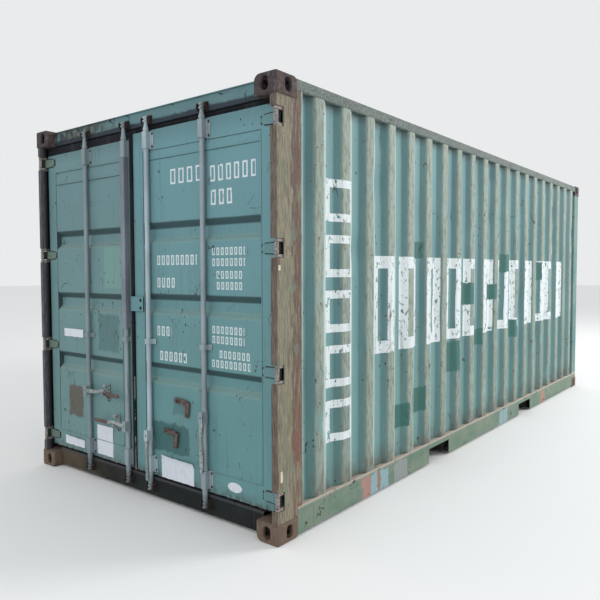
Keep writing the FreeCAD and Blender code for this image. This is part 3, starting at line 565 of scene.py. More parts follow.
def wall_paint():
    """Faded teal on the corrugated sides: chalky crests, dark recesses, marks and repairs, with painted light and
    shade on the rib slopes and recess flats and a painted shadow under the top rail.
    """
    p = Paint("wall_paint")
    out = p.size(p.y)
    crest = p.step(out, WALL_FACE - 0.016, WALL_FACE - 0.003)
    low_part = p.step(p.z, 0.75, 0.18)
    fade = p.noise(0.55, tall=1.8, detail=3, seed=1)
    fine = p.noise(0.012, tall=3, detail=4, rough=0.65, seed=7)
    streak = p.noise(0.016, tall=30, detail=3, rough=0.6, seed=11)
    teal = p.mix(p.step(fade, 0.3, 0.7), (0.092, 0.205, 0.218), (0.128, 0.262, 0.27))
    chalk = p.mix(p.step(fade, 0.3, 0.7), (0.165, 0.235, 0.20), (0.205, 0.31, 0.265))
    worn = p.times(crest, p.step(p.plus(fade, p.times(streak, 0.6)), 0.45, 0.85))
    p.colour = p.mix(p.math("MULTIPLY", crest, 0.85), teal, chalk)
    p.lay((0.34, 0.36, 0.30), worn, 0.5)
    gritty = p.times(crest, p.step(p.noise(0.02, tall=4, detail=5, rough=0.7, seed=9), 0.46, 0.62))
    p.lay((0.115, 0.105, 0.085), gritty, 0.55)
    # painted light and shade: slopes facing +X are lightened, slopes facing -X darkened
    lit_slope = p.step(p.nx, 0.20, 0.40)
    shaded_slope = p.step(p.nx, -0.22, -0.42)
    # painted highlight on the recess flat just past each rib on its +X side
    along = p.math("DIVIDE", p.minus(p.x, RIB_FIRST - RIB_PITCH), RIB_PITCH)
    lit_flat = p.step(p.math("FRACT", along), 0.60, 0.36)
    lit_flat = p.times(lit_flat, p.inverse(crest), p.inverse(shaded_slope), 0.45)
    p.lay((0.21, 0.34, 0.34), lit_flat)
    p.lay((0.46, 0.56, 0.53), lit_slope, 0.8)
    p.lay((0.17, 0.315, 0.275), p.step(p.z, 1.4, 0.35), p.inverse(crest), 0.30)
    # painted shade on the slopes facing -X
    p.shade(p.minus(1.0, p.times(shaded_slope, 0.24)))
    p.shade(p.plus(0.74, p.times(p.plus(fine, streak), 0.26)))
    ragged = p.rough_edge(0.035, 0.02)
    outside = p.step(p.times(p.ny, p.math("SIGN", p.y)), 0.0, 0.2)
    flake = p.step(p.noise(0.03, tall=1.5, detail=5, rough=0.68, seed=21), 0.38, 0.44)
    marks = [p.boxes(p.z, p.x, 0.46, 2.16, -2.53, -2.26, 0.34, 0.76, 0.050)]
    marks.append(p.boxes(p.x, p.z, -2.00, 2.50, 0.95, 1.62, 0.375, 0.68, 0.085))
    marks.append(p.boxes(p.z, p.x, 1.70, 2.40, 1.93, 2.05, 0.24, 0.5, 0.020))
    white = p.times(p.highest(*marks), flake, outside)
    p.lay(p.scaled(WHITE_PAINT, p.plus(0.8, p.times(streak, 0.35))), white)
    repairs = p.times(p.blocks(p.x, p.z, REPAIRS, ragged, 0.008), outside)
    p.lay(p.scaled(TOUCH_UP, p.plus(0.7, p.times(fine, 0.7))), repairs)
    p.runs(p.plus(0.35, p.times(low_part, 0.5)), (0.19, 0.15, 0.11), 31)
    p.runs(0.5, (0.06, 0.09, 0.09), 37, 0.03)
    rust = p.rust(0.035, 41, 0.035)
    specks = p.specks(0.024, 45)
    edge_rust = p.times(p.step(p.z, RAIL_LOW + 0.20, RAIL_LOW - 0.03),
                        p.step(p.noise(0.06, tall=2, detail=3, seed=43), 0.25, 0.75))
    p.lay((0.085, 0.06, 0.042), edge_rust, 0.9)
    # painted shadow: the recesses just under the top rail are darkened
    rail_shadow = p.times(p.step(p.z, RAIL_TOP - 0.08, RAIL_TOP - 0.005), p.inverse(crest))
    p.lay(RAIL_SHADOW_TINT, rail_shadow, 0.6)
    lines = p.scratches(RUST_DARK, 0.28, 0.006, (1, 1, 1.4), 51, 0.75)
    height = p.plus(p.times(fine, 0.25), p.times(p.plus(white, repairs), 0.3))
    height = p.minus(height, p.times(p.highest(rust, lines, specks), 0.8))
    rough = p.plus(0.52, p.times(p.plus(fine, rust), 0.2))
    return p.finish(rough, height, relief=0.0012)


REPAIRS = (
    (-1.405, -1.290, 1.615, 1.739), (-1.700, -1.513, 0.379, 0.548), (-1.430, -1.256, 0.445, 0.629),
    (-0.544, -0.345, 1.224, 1.412), (0.023, 0.204, 1.247, 1.393), (-0.249, -0.129, 0.849, 0.995),
    (0.347, 0.518, 1.502, 1.677), (0.621, 0.775, 0.845, 1.020), (1.350, 1.571, 1.409, 1.609),
    (-0.852, -0.630, 0.675, 0.926))


def door_paint():
    """Smoother teal on the door leaves, with blank data blocks, patches, runs and chips; painted shade on faces
    that look down, on the leaf's edge faces and near the top, and dust with a painted highlight on faces that look
    up.
    """
    p = Paint("door_paint")
    left = p.step(p.y, 0.114, 0.116)
    fade = p.noise(0.5, detail=3, seed=3)
    fine = p.noise(0.01, detail=4, rough=0.65, seed=5)
    upper = p.step(p.z, 0.6, 2.2)
    right_teal = p.mix(upper, (0.112, 0.245, 0.255), (0.125, 0.26, 0.29))
    left_teal = p.mix(upper, (0.135, 0.245, 0.25), (0.125, 0.225, 0.24))
    p.colour = p.mix(left, right_teal, left_teal)
    p.shade(p.plus(0.82, p.times(p.plus(fade, fine), 0.2)))
    # painted shade: faces that look down, as the top slope of each recess, are darkened
    down_face_shade = p.step(p.nz, -0.12, -0.45)
    p.lay((0.018, 0.042, 0.046), down_face_shade, 0.82)
    # dust and a painted highlight: faces that look up are lightened
    p.lay((0.28, 0.36, 0.31), p.step(p.nz, 0.2, 0.5), 0.30)
    # painted shade: the edge faces of the leaf, in the gaps round it, are darkened
    edge_face_shade = p.step(p.size(p.ny), 0.6, 0.8)
    p.lay((0.02, 0.028, 0.03), edge_face_shade, 0.75)
    ragged = p.rough_edge(0.02, 0.006, 8)
    wild = p.rough_edge(0.05, 0.03, 12)
    patches = (
        (PATCH_PALE, (0.16, 0.32, 0.28), 0.6), (PATCH_DARK, (0.07, 0.15, 0.155), 0.7),
        (PATCH_REPAINT, (0.04, 0.115, 0.115), 0.9), (PATCH_BROWN, (0.10, 0.088, 0.07), 0.92))
    outside = p.step(p.nx, -0.2, -0.5)
    for spans, tint, share in patches:
        p.lay(tint, p.blocks(p.y, p.z, spans, wild, 0.02), outside, share)
    flake = p.step(p.noise(0.008, detail=4, rough=0.7, seed=25), 0.33, 0.4)
    across = p.math("MULTIPLY", p.y, -1.0)
    rows = [p.boxes(across, p.z, *row) for row in DATA_ROWS]
    white = p.times(p.highest(*rows), flake, outside)
    p.lay(WHITE_PAINT, white, 0.85)
    p.runs(0.55, (0.07, 0.105, 0.105), 33, 0.02)
    p.runs(0.4, RUST_MID, 39, 0.014)
    rust = p.rust(-0.01, 45, 0.028)
    specks = p.specks(0.020, 47)
    low_edge = p.step(p.z, 0.24, 0.165)
    stain = p.noise(0.03, tall=2, detail=3, seed=49)
    p.lay((0.06, 0.045, 0.034), low_edge, p.step(stain, 0.3, 0.7), 0.75)
    top_shade = p.step(p.z, 2.30, 2.44)
    p.shade(p.minus(1.0, p.times(top_shade, 0.22)))
    lines = p.scratches(RUST_DARK, 0.22, 0.005, seed=55, strength=0.85)
    height = p.plus(p.times(fine, 0.2), p.times(white, 0.2))
    height = p.minus(height, p.times(p.highest(rust, lines, specks), 0.8))
    rough = p.plus(0.42, p.times(p.plus(fine, rust), 0.25))
    return p.finish(rough, height, relief=0.001)


# rows of hollow boxes where data is painted: (from, to, low, high, pitch, share, stroke), along -Y
DATA_ROWS = (
    (0.28, 0.58, 2.07, 2.165, 0.078, 0.62, 0.011), (0.64, 1.01, 2.055, 2.15, 0.067, 0.62, 0.011),
    (0.645, 0.84, 1.915, 2.005, 0.067, 0.62, 0.011), (0.14, 0.52, 1.560, 1.622, 0.046, 0.62, 0.009),
    (0.655, 0.925, 1.615, 1.66, 0.037, 0.62, 0.007), (0.655, 0.925, 1.550, 1.595, 0.037, 0.62, 0.007),
    (0.14, 0.32, 1.415, 1.477, 0.046, 0.62, 0.009), (0.69, 0.91, 1.475, 1.52, 0.037, 0.62, 0.007),
    (0.69, 0.91, 1.410, 1.455, 0.037, 0.62, 0.007), (0.13, 0.27, 1.10, 1.162, 0.046, 0.62, 0.009),
    (0.65, 0.915, 1.145, 1.19, 0.037, 0.62, 0.007), (0.65, 0.915, 1.085, 1.13, 0.037, 0.62, 0.007),
    (0.158, 0.43, 0.940, 1.0, 0.046, 0.62, 0.009), (0.71, 0.96, 1.0, 1.045, 0.037, 0.62, 0.007),
    (0.645, 0.96, 0.940, 0.985, 0.037, 0.62, 0.007))
PATCH_PALE = ((0.25, 0.45, 1.40, 1.69),)
PATCH_DARK = ((0.29, 0.53, 0.95, 1.21), (-0.42, -0.28, 0.60, 0.70))
PATCH_REPAINT = ((-0.43, -0.08, 0.34, 0.53),)
PATCH_BROWN = ((0.745, 0.93, 0.425, 0.655),)


def frame_paint():
    """Gritty grey-green on rails, header, sill and front posts, with painted shade on the header's lower part and
    on the right half of the sill.
    """
    p = Paint("frame_paint")
    fade = p.noise(0.35, detail=4, seed=13)
    fine = p.noise(0.009, detail=5, rough=0.7, seed=15)
    p.colour = p.mix(p.step(fade, 0.35, 0.65), (0.10, 0.20, 0.20), (0.16, 0.25, 0.235))
    upper = p.step(p.z, 2.49, 2.53)
    gritty = p.mix(p.step(fine, 0.4, 0.62), (0.085, 0.095, 0.085), (0.22, 0.235, 0.215))
    along_side = p.step(p.size(p.y), 1.13, 1.14)
    p.lay(gritty, upper, along_side, 0.85)
    lower = p.step(p.z, 0.20, 0.18)
    cloud = p.step(p.noise(0.16, stretch=(1.6, 1, 1), detail=3, seed=17), 0.3, 0.7)
    dusty = p.mix(cloud, (0.125, 0.195, 0.145), (0.20, 0.245, 0.185))
    p.lay(dusty, lower, along_side, 0.9)
    lip = p.times(p.step(p.z, 0.155, 0.172), lower, along_side)
    p.lay((0.48, 0.40, 0.34), lip, 0.8)
    wild = p.rough_edge(0.04, 0.03, 14)
    for (x0, x1), tint in SILL_PATCHES:
        patch = p.times(p.block(p.x, p.z, x0, x1, 0.0, 0.15, wild, 0.01), along_side)
        p.lay(tint, patch, 0.8)
    at_door = p.step(p.x, DOOR_X + 0.177, DOOR_X + 0.172)
    sill = p.times(at_door, lower)
    # painted shadow: the right half of the sill is very dark, the left half rusty brown
    sill_left = p.step(p.y, 0.1, 0.9)
    black = p.mix(p.step(fade, 0.4, 0.7), (0.006, 0.0065, 0.007), (0.012, 0.0125, 0.013))
    brown = p.mix(p.step(fade, 0.35, 0.6), (0.026, 0.018, 0.014), (0.078, 0.058, 0.038))
    p.lay(p.mix(sill_left, black, brown), sill, 0.97)
    sill_top = p.times(sill, p.step(p.z, 0.126, 0.136))
    p.lay((0.055, 0.058, 0.066), sill_top, 0.8)
    header = p.times(at_door, p.step(p.z, 2.44, 2.46))
    p.lay(p.mix(p.step(fade, 0.3, 0.7), (0.095, 0.18, 0.195), (0.125, 0.225, 0.24)), header)
    mottle = p.times(header, p.step(p.y, 0.1, 0.65), p.step(p.noise(0.05, detail=4, seed=19), 0.30, 0.48))
    cloudy = p.step(p.noise(0.035, detail=5, rough=0.65, seed=23), 0.42, 0.60)
    p.lay(p.mix(cloudy, (0.024, 0.027, 0.027), (0.105, 0.115, 0.095)), mottle, 0.9)
    # painted shade: the lower part of the header, over the tops of the leaves, is darkened
    band = p.times(header, p.step(p.plus(p.z, p.rough_edge(0.06, 0.012, 22)), 2.514, 2.496))
    p.lay((0.022, 0.028, 0.040), band, 0.92)
    p.runs(0.6, (0.10, 0.085, 0.065), 61, 0.015)
    rust = p.rust(0.06, 63, 0.03)
    lines = p.scratches((0.012, 0.012, 0.012), 0.16, 0.013, (1, 1.6, 0.7), 65, 0.95)
    height = p.minus(p.times(fine, 0.5), p.times(p.highest(rust, lines), 0.7))
    return p.finish(p.plus(0.55, p.times(fine, 0.3)), height, relief=0.0012, gloss=0.18)


SILL_PATCHES = (
    ((-2.17, -2.06), (0.42, 0.21, 0.19)), ((-2.06, -1.83), (0.26, 0.40, 0.46)),
    ((-1.98, -1.94), (0.30, 0.13, 0.07)), ((-1.75, -1.56), (0.27, 0.29, 0.29)),
    ((0.30, 0.52), (0.26, 0.38, 0.42)), ((1.55, 1.72), (0.36, 0.20, 0.16)))


def post_paint():
    """Brown rust on the door posts, with a worn cream and olive band down each side web."""
    p = Paint("post_paint")
    coarse = p.noise(0.020, tall=9, detail=5, rough=0.68, seed=71)
    narrow = p.noise(0.007, tall=12, detail=4, rough=0.65, seed=73)
    area = p.noise(0.26, tall=1.8, detail=3, seed=75)
    fine = p.noise(0.006, tall=1.6, detail=5, rough=0.72, seed=77)
    rust = p.mix(p.step(p.plus(p.times(fine, 0.5), p.times(narrow, 0.5)), 0.4, 0.62),
                 (0.085, 0.058, 0.048), (0.19, 0.125, 0.098))
    low_part = p.step(p.z, 1.25, 0.35)
    rust = p.mix(p.times(low_part, 0.6), rust, (0.19, 0.088, 0.060))
    band = p.step(p.plus(p.x, p.rough_edge(0.12, 0.045, 78)), DOOR_X + 0.138, DOOR_X + 0.112)
    band = p.times(band, p.inverse(p.times(p.step(p.z, 2.22, 2.40), 0.65)))
    share = p.plus(p.times(band, 0.20), p.times(p.minus(area, 0.5), 0.55))
    pale = p.step(p.plus(coarse, share), 0.52, 0.66)
    cream = p.mix(p.step(narrow, 0.4, 0.62), (0.155, 0.15, 0.105), (0.285, 0.262, 0.185))
    p.colour = p.mix(p.times(pale, 0.9), rust, cream)
    greenish = p.times(p.step(p.noise(0.035, tall=6, detail=3, seed=79), 0.53, 0.66), pale, 0.55)
    p.lay((0.145, 0.17, 0.105), greenish)
    teal_left = p.step(p.noise(0.07, tall=3, detail=4, seed=81), 0.60, 0.66)
    p.lay((0.16, 0.22, 0.17), teal_left, 0.5)
    front = p.step(p.nx, -0.6, -0.9)
    shade = p.mix(p.step(narrow, 0.42, 0.62), (0.070, 0.052, 0.047), (0.165, 0.125, 0.105))
    p.lay(shade, front, 0.85)
    far_front = p.times(front, p.step(p.y, 0.0, 0.1))
    slate = p.mix(p.step(narrow, 0.4, 0.65), (0.050, 0.052, 0.066), (0.12, 0.12, 0.14))
    p.lay(slate, far_front, 0.9)
    p.lay((0.040, 0.028, 0.024), p.step(narrow, 0.60, 0.70), 0.75)
    inner = p.step(p.times(p.ny, p.math("SIGN", p.y)), -0.5, -0.8)
    depth_shade = p.mix(p.step(p.x, DOOR_X + 0.018, DOOR_X + 0.045), slate, (0.009, 0.011, 0.014))
    p.lay(depth_shade, inner, 0.95)
    height = p.plus(p.times(pale, 0.5), p.times(fine, 0.5))
    return p.finish(p.plus(0.6, p.times(fine, 0.3)), height, relief=0.0018)


def rusted_casting():
    """Dark brown rusted steel castings with worn paler rims."""
    p = Paint("rusted_casting")
    coarse = p.noise(0.035, detail=5, rough=0.65, seed=91)
    fine = p.noise(0.005, detail=5, rough=0.7, seed=93)
    p.colour = p.mix(p.step(coarse, 0.35, 0.65), (0.042, 0.034, 0.035), (0.098, 0.072, 0.065))
    p.lay((0.19, 0.13, 0.10), p.step(fine, 0.54, 0.68), 0.5)
    front = p.step(p.nx, -0.5, -0.9)
    p.lay((0.045, 0.042, 0.052), front, p.step(p.z, 2.0, 2.2), 0.5)
    bright = p.step(p.noise(0.02, tall=2, detail=4, seed=95), 0.58, 0.66)
    p.lay((0.24, 0.22, 0.20), bright, 0.35)
    low_part = p.step(p.z, 0.3, 0.1)
    p.lay((0.26, 0.18, 0.12), low_part, 0.4)
    height = p.plus(p.times(coarse, 0.6), fine)
    return p.finish(p.plus(0.62, p.times(fine, 0.25)), height, metal=0.15, relief=0.003)


def galvanised(name, tint, seed):
    """Dull zinc-grey paint on the lock gear, with brown bleeding, darker towards the foot, painted shade on the
    left leaf's gear and a painted highlight near the right leaf's meeting edge.
    """
    p = Paint(name)
    fade = p.noise(0.25, tall=2, detail=3, seed=seed)
    fine = p.noise(0.006, detail=4, rough=0.65, seed=seed + 1)
    p.colour = p.mix(p.step(fade, 0.3, 0.7), tint, tuple(c * 1.45 for c in tint))
    # painted shade: the gear on the left leaf is darkened, the outer bar most
    p.lay((0.12, 0.17, 0.175), p.step(p.y, 0.05, 0.35), 0.35)
    # painted highlight: the gear near the right leaf's meeting edge is lightened
    p.shade(p.plus(1.0, p.times(p.step(p.y, 0.05, -0.05), p.step(p.y, -0.5, -0.2), 0.35)))
    p.shade(p.plus(0.78, p.times(fine, 0.42)))
    p.runs(0.8, (0.085, 0.07, 0.06), seed + 2, 0.009)
    rust = p.rust(0.055, seed + 3, 0.016)
    foot = p.step(p.z, 0.175, 0.13)
    p.lay((0.06, 0.05, 0.045), foot, 0.45)
    height = p.minus(p.times(fine, 0.5), p.times(rust, 0.6))
    return p.finish(p.plus(0.42, p.times(p.plus(fine, rust), 0.25)), height, metal=0.25, relief=0.0008)


def handle_paint():
    """Pale paint on the handles, rusted through towards the far ends, with painted shade underneath."""
    p = Paint("handle_paint")
    fine = p.noise(0.006, detail=4, rough=0.65, seed=201)
    spots = p.noise(0.018, detail=4, rough=0.65, seed=203)
    base = p.mix(p.step(p.noise(0.1, detail=2, seed=205), 0.4, 0.6), (0.25, 0.29, 0.29), (0.37, 0.40, 0.40))
    reach = p.highest(p.times(p.step(p.y, 0.43, 0.36), p.step(p.z, 0.6, 0.62)),
                      p.times(p.step(p.y, 0.33, 0.40), p.step(p.z, 0.52, 0.50)))
    gate = p.plus(spots, p.times(reach, 0.22))
    p.colour = p.mix(p.step(gate, 0.56, 0.64), p.scaled(base, p.plus(0.7, p.times(fine, 0.5))),
                     (0.10, 0.072, 0.058))
    # painted shade on the faces that look down
    under = p.step(p.nz, -0.3, -0.7)
    p.lay((0.03, 0.025, 0.022), under, 0.7)
    return p.finish(p.plus(0.45, p.times(fine, 0.3)), p.minus(fine, spots), metal=0.15,
                    relief=0.001)


def rusty_steel(name, dark, light, seed, relief=0.002):
    """Bare forged steel, rusted all over."""
    p = Paint(name)
    coarse = p.noise(0.012, detail=5, rough=0.65, seed=seed)
    fine = p.noise(0.003, detail=4, rough=0.7, seed=seed + 1)
    p.colour = p.mix(p.step(coarse, 0.35, 0.65), dark, light)
    p.lay(RUST_LIGHT, p.step(fine, 0.55, 0.7), 0.5)
    return p.finish(p.plus(0.6, p.times(fine, 0.25)), p.plus(coarse, fine), metal=0.2, relief=relief)


def gasket_rubber():
    """Black door rubber, greyed by dust and smeared with old paint."""
    p = Paint("gasket_rubber")
    fine = p.noise(0.01, tall=5, detail=4, rough=0.65, seed=101)
    dusty = p.step(p.noise(0.09, tall=4, detail=3, seed=103), 0.5, 0.7)
    p.colour = p.mix(p.times(dusty, 0.3), (0.014, 0.016, 0.020), (0.060, 0.068, 0.075))
    p.shade(p.plus(0.6, p.times(fine, 0.8)))
    torn = p.step(p.noise(0.03, tall=3, detail=4, rough=0.65, seed=105), 0.46, 0.52)
    middle = p.block(p.y, p.z, 0.122, 0.131, 0.15, 0.80, p.rough_edge(0.05, 0.01, 106), 0.003)
    bottom = p.block(p.y, p.z, -1.10, 1.10, 0.158, 0.166, p.rough_edge(0.05, 0.008, 107), 0.003)
    p.lay((0.42, 0.36, 0.35), p.highest(middle, bottom), torn, 0.65)
    return p.finish(p.plus(0.5, p.times(fine, 0.3)), fine, relief=0.0008, gloss=0.12)


def plywood():
    """Worn floor boards: long grain, joints every 0.6 m across, scuffs."""
    p = Paint("plywood")
    grain = p.noise(0.01, stretch=(30, 1, 1), detail=4, rough=0.6, seed=111)
    area = p.noise(0.4, detail=3, seed=113)
    p.colour = p.mix(p.step(grain, 0.3, 0.7), (0.15, 0.085, 0.048), (0.28, 0.17, 0.10))
    p.shade(p.plus(0.6, p.times(area, 0.8)))
    joint = p.size(p.minus(p.math("FRACT", p.math("DIVIDE", p.y, 0.593)), 0.5))
    line = p.step(joint, 0.492, 0.497)
    p.lay((0.02, 0.014, 0.01), line)
    scuff = p.step(p.noise(0.05, stretch=(6, 1, 1), detail=4, seed=115), 0.58, 0.66)
    p.lay((0.33, 0.27, 0.21), scuff, 0.5)
    return p.finish(p.plus(0.5, p.times(grain, 0.3)), p.minus(grain, line), relief=0.001)


def underbody():
    """Thick dark underbody coating with dust and rust coming through."""
    p = Paint("underbody")
    fine = p.noise(0.012, detail=5, rough=0.65, seed=121)
    p.colour = p.mix(p.step(fine, 0.4, 0.65), (0.022, 0.021, 0.02), (0.06, 0.052, 0.045))
    rust = p.rust(0.08, 123, 0.05)
    return p.finish(p.plus(0.6, p.times(fine, 0.3)), p.plus(fine, rust), relief=0.0015)


def roof_paint():
    """Weathered teal roof, dusty in the troughs and rusty at scrapes."""
    p = Paint("roof_paint")
    fade = p.noise(0.6, detail=3, seed=131)
    fine = p.noise(0.012, detail=4, rough=0.65, seed=133)
    crest = p.step(p.z, cad_high.z - 0.03, cad_high.z - 0.016)
    p.colour = p.mix(crest, (0.10, 0.17, 0.165), (0.17, 0.27, 0.25))
    p.shade(p.plus(0.7, p.times(p.plus(fade, fine), 0.32)))
    stain = p.times(p.step(p.noise(0.12, stretch=(1, 3, 1), detail=4, seed=135), 0.5, 0.65),
                    p.inverse(crest), 0.6)
    p.lay((0.15, 0.12, 0.09), stain)
    rust = p.rust(0.05, 137, 0.06)
    return p.finish(p.plus(0.55, p.times(fine, 0.3)), p.minus(fine, rust), relief=0.0012)


def label_paper(name, base, stain, seed):
    """A blank, weathered sticker."""
    p = Paint(name)
    dirt = p.noise(0.03, tall=2, detail=4, seed=seed)
    fine = p.noise(0.004, detail=4, rough=0.7, seed=seed + 1)
    p.colour = p.mix(p.times(p.step(dirt, 0.5, 0.75), 0.5), base, stain)
    p.lay((0.12, 0.22, 0.22), p.step(fine, 0.66, 0.72), 0.5)
    return p.finish(p.plus(0.4, p.times(fine, 0.3)), fine, relief=0.0004)


MATERIAL = {
    "casting": rusted_casting(),
    "post_paint": post_paint(),
    "frame_paint": frame_paint(),
    "wall_paint": wall_paint(),
    "door_paint": door_paint(),
    "roof_paint": roof_paint(),
    "floor_wood": plywood(),
    "underframe_paint": underbody(),
    "hinge_steel": rusty_steel("hinge_steel", (0.14, 0.125, 0.12), (0.36, 0.33, 0.31), 141, 0.001),
    "keeper_steel": rusty_steel("keeper_steel", (0.012, 0.010, 0.010), (0.055, 0.037, 0.030), 143),
    "galvanised": galvanised("galvanised", (0.215, 0.262, 0.285), 145),
    "gasket_rubber": gasket_rubber(),
}
GUARD_PAINT = galvanised("guard_paint", (0.165, 0.185, 0.22), 155)
CATCH_RUST = rusty_steel("catch_rust", (0.040, 0.030, 0.028), (0.16, 0.125, 0.115), 161)
HANDLE_PAINT = handle_paint()
BOLT_STEEL = rusty_steel("bolt_steel", (0.012, 0.012, 0.014), (0.05, 0.045, 0.045), 163, 0.0006)
WHITE_LABEL = label_paper("white_label", (0.62, 0.66, 0.72), (0.46, 0.48, 0.50), 171)
CREAM_TAG = label_paper("cream_tag", (0.62, 0.57, 0.44), (0.33, 0.25, 0.17), 175)


def paint_frame():
    """Gives every CAD node the material of its slot in the record."""
    for part in frame["record"]["subparts"]:
        node = frame["nodes"][part["node"]]
        node.data.materials.clear()
        node.data.materials.append(MATERIAL[part["material_slot"]])


paint_frame()


# ---------------------------------------------------------------- sheets
def rib_path(start, end, first, pitch, flat, slope, depth, count, lead=()):
    """The (along, out) path of a corrugated sheet: count ribs, pitch apart, depth deep."""
    points = list(lead) if lead else [(start, -depth)]
    for k in range(count):
        middle = first + k * pitch
        points += [(middle - flat / 2 - slope, -depth), (middle - flat / 2, 0.0),
                   (middle + flat / 2, 0.0), (middle + flat / 2 + slope, -depth)]
    points.append((end, -depth))
    return [p for i, p in enumerate(points) if i == 0 or abs(p[0] - points[i - 1][0]) > 0.0005]


def side_walls():
    """The corrugated side sheets, dented."""
    for side, sign, seed in (("right", -1, 1), ("left", 1, 2)):
        low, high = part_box("side_wall_" + side)
        lead = [(low.x, 0.0), (low.x + 0.020, 0.0), (low.x + 0.060, -WALL_DEPTH)]
        path = rib_path(low.x, high.x, RIB_FIRST, RIB_PITCH, RIB_FLAT, RIB_SLOPE, WALL_DEPTH, RIB_COUNT,
                        lead)
        path = divided(rounded_path(path, 0.013), 0.045)
        dent = dents(seed, ((low.x, high.x), (low.z, high.z)), 70, (0.05, 0.16), (0.003, 0.011))
        shape = Shape()
        folded_sheet(shape, path, low.z, high.z, 56,
                     lambda a, b, z: (a, sign * (WALL_FACE + b), z), WALL_THICK, dent)
        make_piece("side_sheet_" + side, shape, "container", "wall_paint", ["side_wall_" + side])


def front_sheet():
    """The corrugated sheet of the closed end."""
    low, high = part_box("front_wall")
    face = high.x
    path = rib_path(low.y, high.y, -0.875, 0.250, 0.107, 0.018, 0.045, 8)
    path = divided(rounded_path(path, 0.010), 0.05)
    dent = dents(3, ((low.y, high.y), (low.z, high.z)), 26, (0.06, 0.18), (0.003, 0.012))
    shape = Shape()
    folded_sheet(shape, path, low.z, high.z, 50, lambda a, b, z: (face + b, a, z), SHEET_THICK, dent)
    make_piece("front_sheet", shape, "container", "wall_paint", ["front_wall"], [front_paint()])


def front_paint():
    """The same faded teal as the sides, on the closed end."""
    p = Paint("front_paint")
    fade = p.noise(0.5, detail=3, seed=181)
    fine = p.noise(0.012, tall=3, detail=4, rough=0.65, seed=183)
    crest = p.step(p.x, 2.99, 3.015)
    p.colour = p.mix(p.times(crest, 0.8), (0.105, 0.225, 0.235), (0.22, 0.33, 0.30))
    p.shade(p.plus(0.75, p.times(p.plus(fade, fine), 0.26)))
    p.runs(0.6, (0.15, 0.11, 0.08), 185)
    rust = p.rust(0.02, 187, 0.04)
    return p.finish(p.plus(0.5, p.times(fine, 0.3)), p.minus(fine, rust), relief=0.0012)


def roof_sheet():
    """The corrugated roof, cut away round the castings of the closed end."""
    low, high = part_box("roof_panel")
    top = high.z
    count = int((high.x - low.x - 0.060) // ROOF_PITCH)
    first = (low.x + high.x) / 2 - ROOF_PITCH * (count - 1) / 2
    path = rib_path(low.x, high.x, first, ROOF_PITCH, 0.091, 0.014, 0.020, count)
    path = divided(rounded_path(path, 0.006, 2), 0.05)
    dent = dents(4, ((low.x, high.x), (low.y, high.y)), 30, (0.08, 0.25), (0.002, 0.008))
    reach = SIDE_Y - 0.064
    notch_x, notch_y = cad_high.x - 0.178, SIDE_Y - 0.162
    shape = Shape()
    body = [p for p in path if low.x <= p[0] <= notch_x]
    edge = [(notch_x, -0.020)]
    folded_sheet(shape, [p for p in body if p[0] < notch_x - 0.001] + edge, -reach, reach, 34,
                 lambda a, b, y: (a, y, top + b), SHEET_THICK, dent)
    tail = edge + [p for p in path if p[0] > notch_x + 0.001]
    folded_sheet(shape, tail, -notch_y, notch_y, 24, lambda a, b, y: (a, y, top + b), SHEET_THICK, dent)
    make_piece("roof_sheet", shape, "container", "roof_paint", ["roof_panel"])


side_walls()
front_sheet()
roof_sheet()

# ---------------------------------------------------------------- corner castings
CAST_X = 0.178
CAST_Y = 0.166
CAST_Z = 0.120
CAST_BEND = 0.042
SLOT_SIZE = (0.124, 0.0635)
PORT_SIZE = (0.079, 0.051)
PORT_Z = 0.058
CUT_DEPTH = 0.060


def pillow(shape, outline, axis, start, end, radius, steps=4):
    """An outline pushed along an axis, with both rims rounded."""
    place = AXIS_POINT[axis]
    way = 1 if end > start else -1
    turns = [math.radians(90 * k / steps) for k in range(steps + 1)]
    layers = [(radius * (1 - math.sin(t)), start + way * radius * (1 - math.cos(t))) for t in turns]
    layers += [(radius * (1 - math.sin(t)), end - way * radius * (1 - math.cos(t))) for t in reversed(turns)]
    loft(shape, [[place(u, v, w) for u, v in inset(outline, shift)] for shift, w in layers])


def uneven(low, high, radii, steps=6):
    """A rectangle from low to high whose corners, starting low-low and turning
    anticlockwise, have a radius each."""
    corners = ((low[0], low[1], 1, 1, 180), (high[0], low[1], -1, 1, 270),
               (high[0], high[1], -1, -1, 0), (low[0], high[1], 1, -1, 90))
    outline = []
    for (u, v, su, sv, first), radius in zip(corners, radii):
        outline += arc((u + su * radius, v + sv * radius), radius, first, first + 90, steps)
    return outline


def stadium(long, wide, steps=8):
    """The outline of a slot, long along its first coordinate."""
    reach, radius = (long - wide) / 2, wide / 2
    outline = []
    for sign, first in ((1, -90), (-1, 90)):
        outline += arc((sign * reach, 0.0), radius, first, first + 180, steps)
    return outline


def flared_hole(shape, outline, axis, start, end, flare):
    """A cutter that widens at its start, for a hole with a worn rim."""
    place = AXIS_POINT[axis]
    way = 1 if end > start else -1
    wide = inset(outline, -flare)
    layers = [(wide, start - way * 0.004), (wide, start), (outline, start + way * flare), (outline, end)]
    loft(shape, [[place(u, v, w) for u, v in ring] for ring, w in layers])


def cut_mesh(body, cutters):
    """The points and faces of body after each cutter is taken away."""
    target = put_in_scene("cut_body", solid_mesh("cut_body", body))
    helpers = []
    for shape in cutters:
        helper = put_in_scene("cutter", solid_mesh("cutter", shape))
        modifier = target.modifiers.new("cut", "BOOLEAN")
        modifier.operation = "DIFFERENCE"
        modifier.solver = "EXACT"
        modifier.object = helper
        helpers.append(helper)
    bpy.context.view_layer.update()
    done = bpy.data.meshes.new_from_object(target.evaluated_get(bpy.context.evaluated_depsgraph_get()))
    points = [tuple(v.co) for v in done.vertices]
    faces = [tuple(f.vertices) for f in done.polygons]
    for thing in helpers + [target]:
        bpy.data.objects.remove(thing)
    bpy.data.meshes.remove(done)
    return points, faces


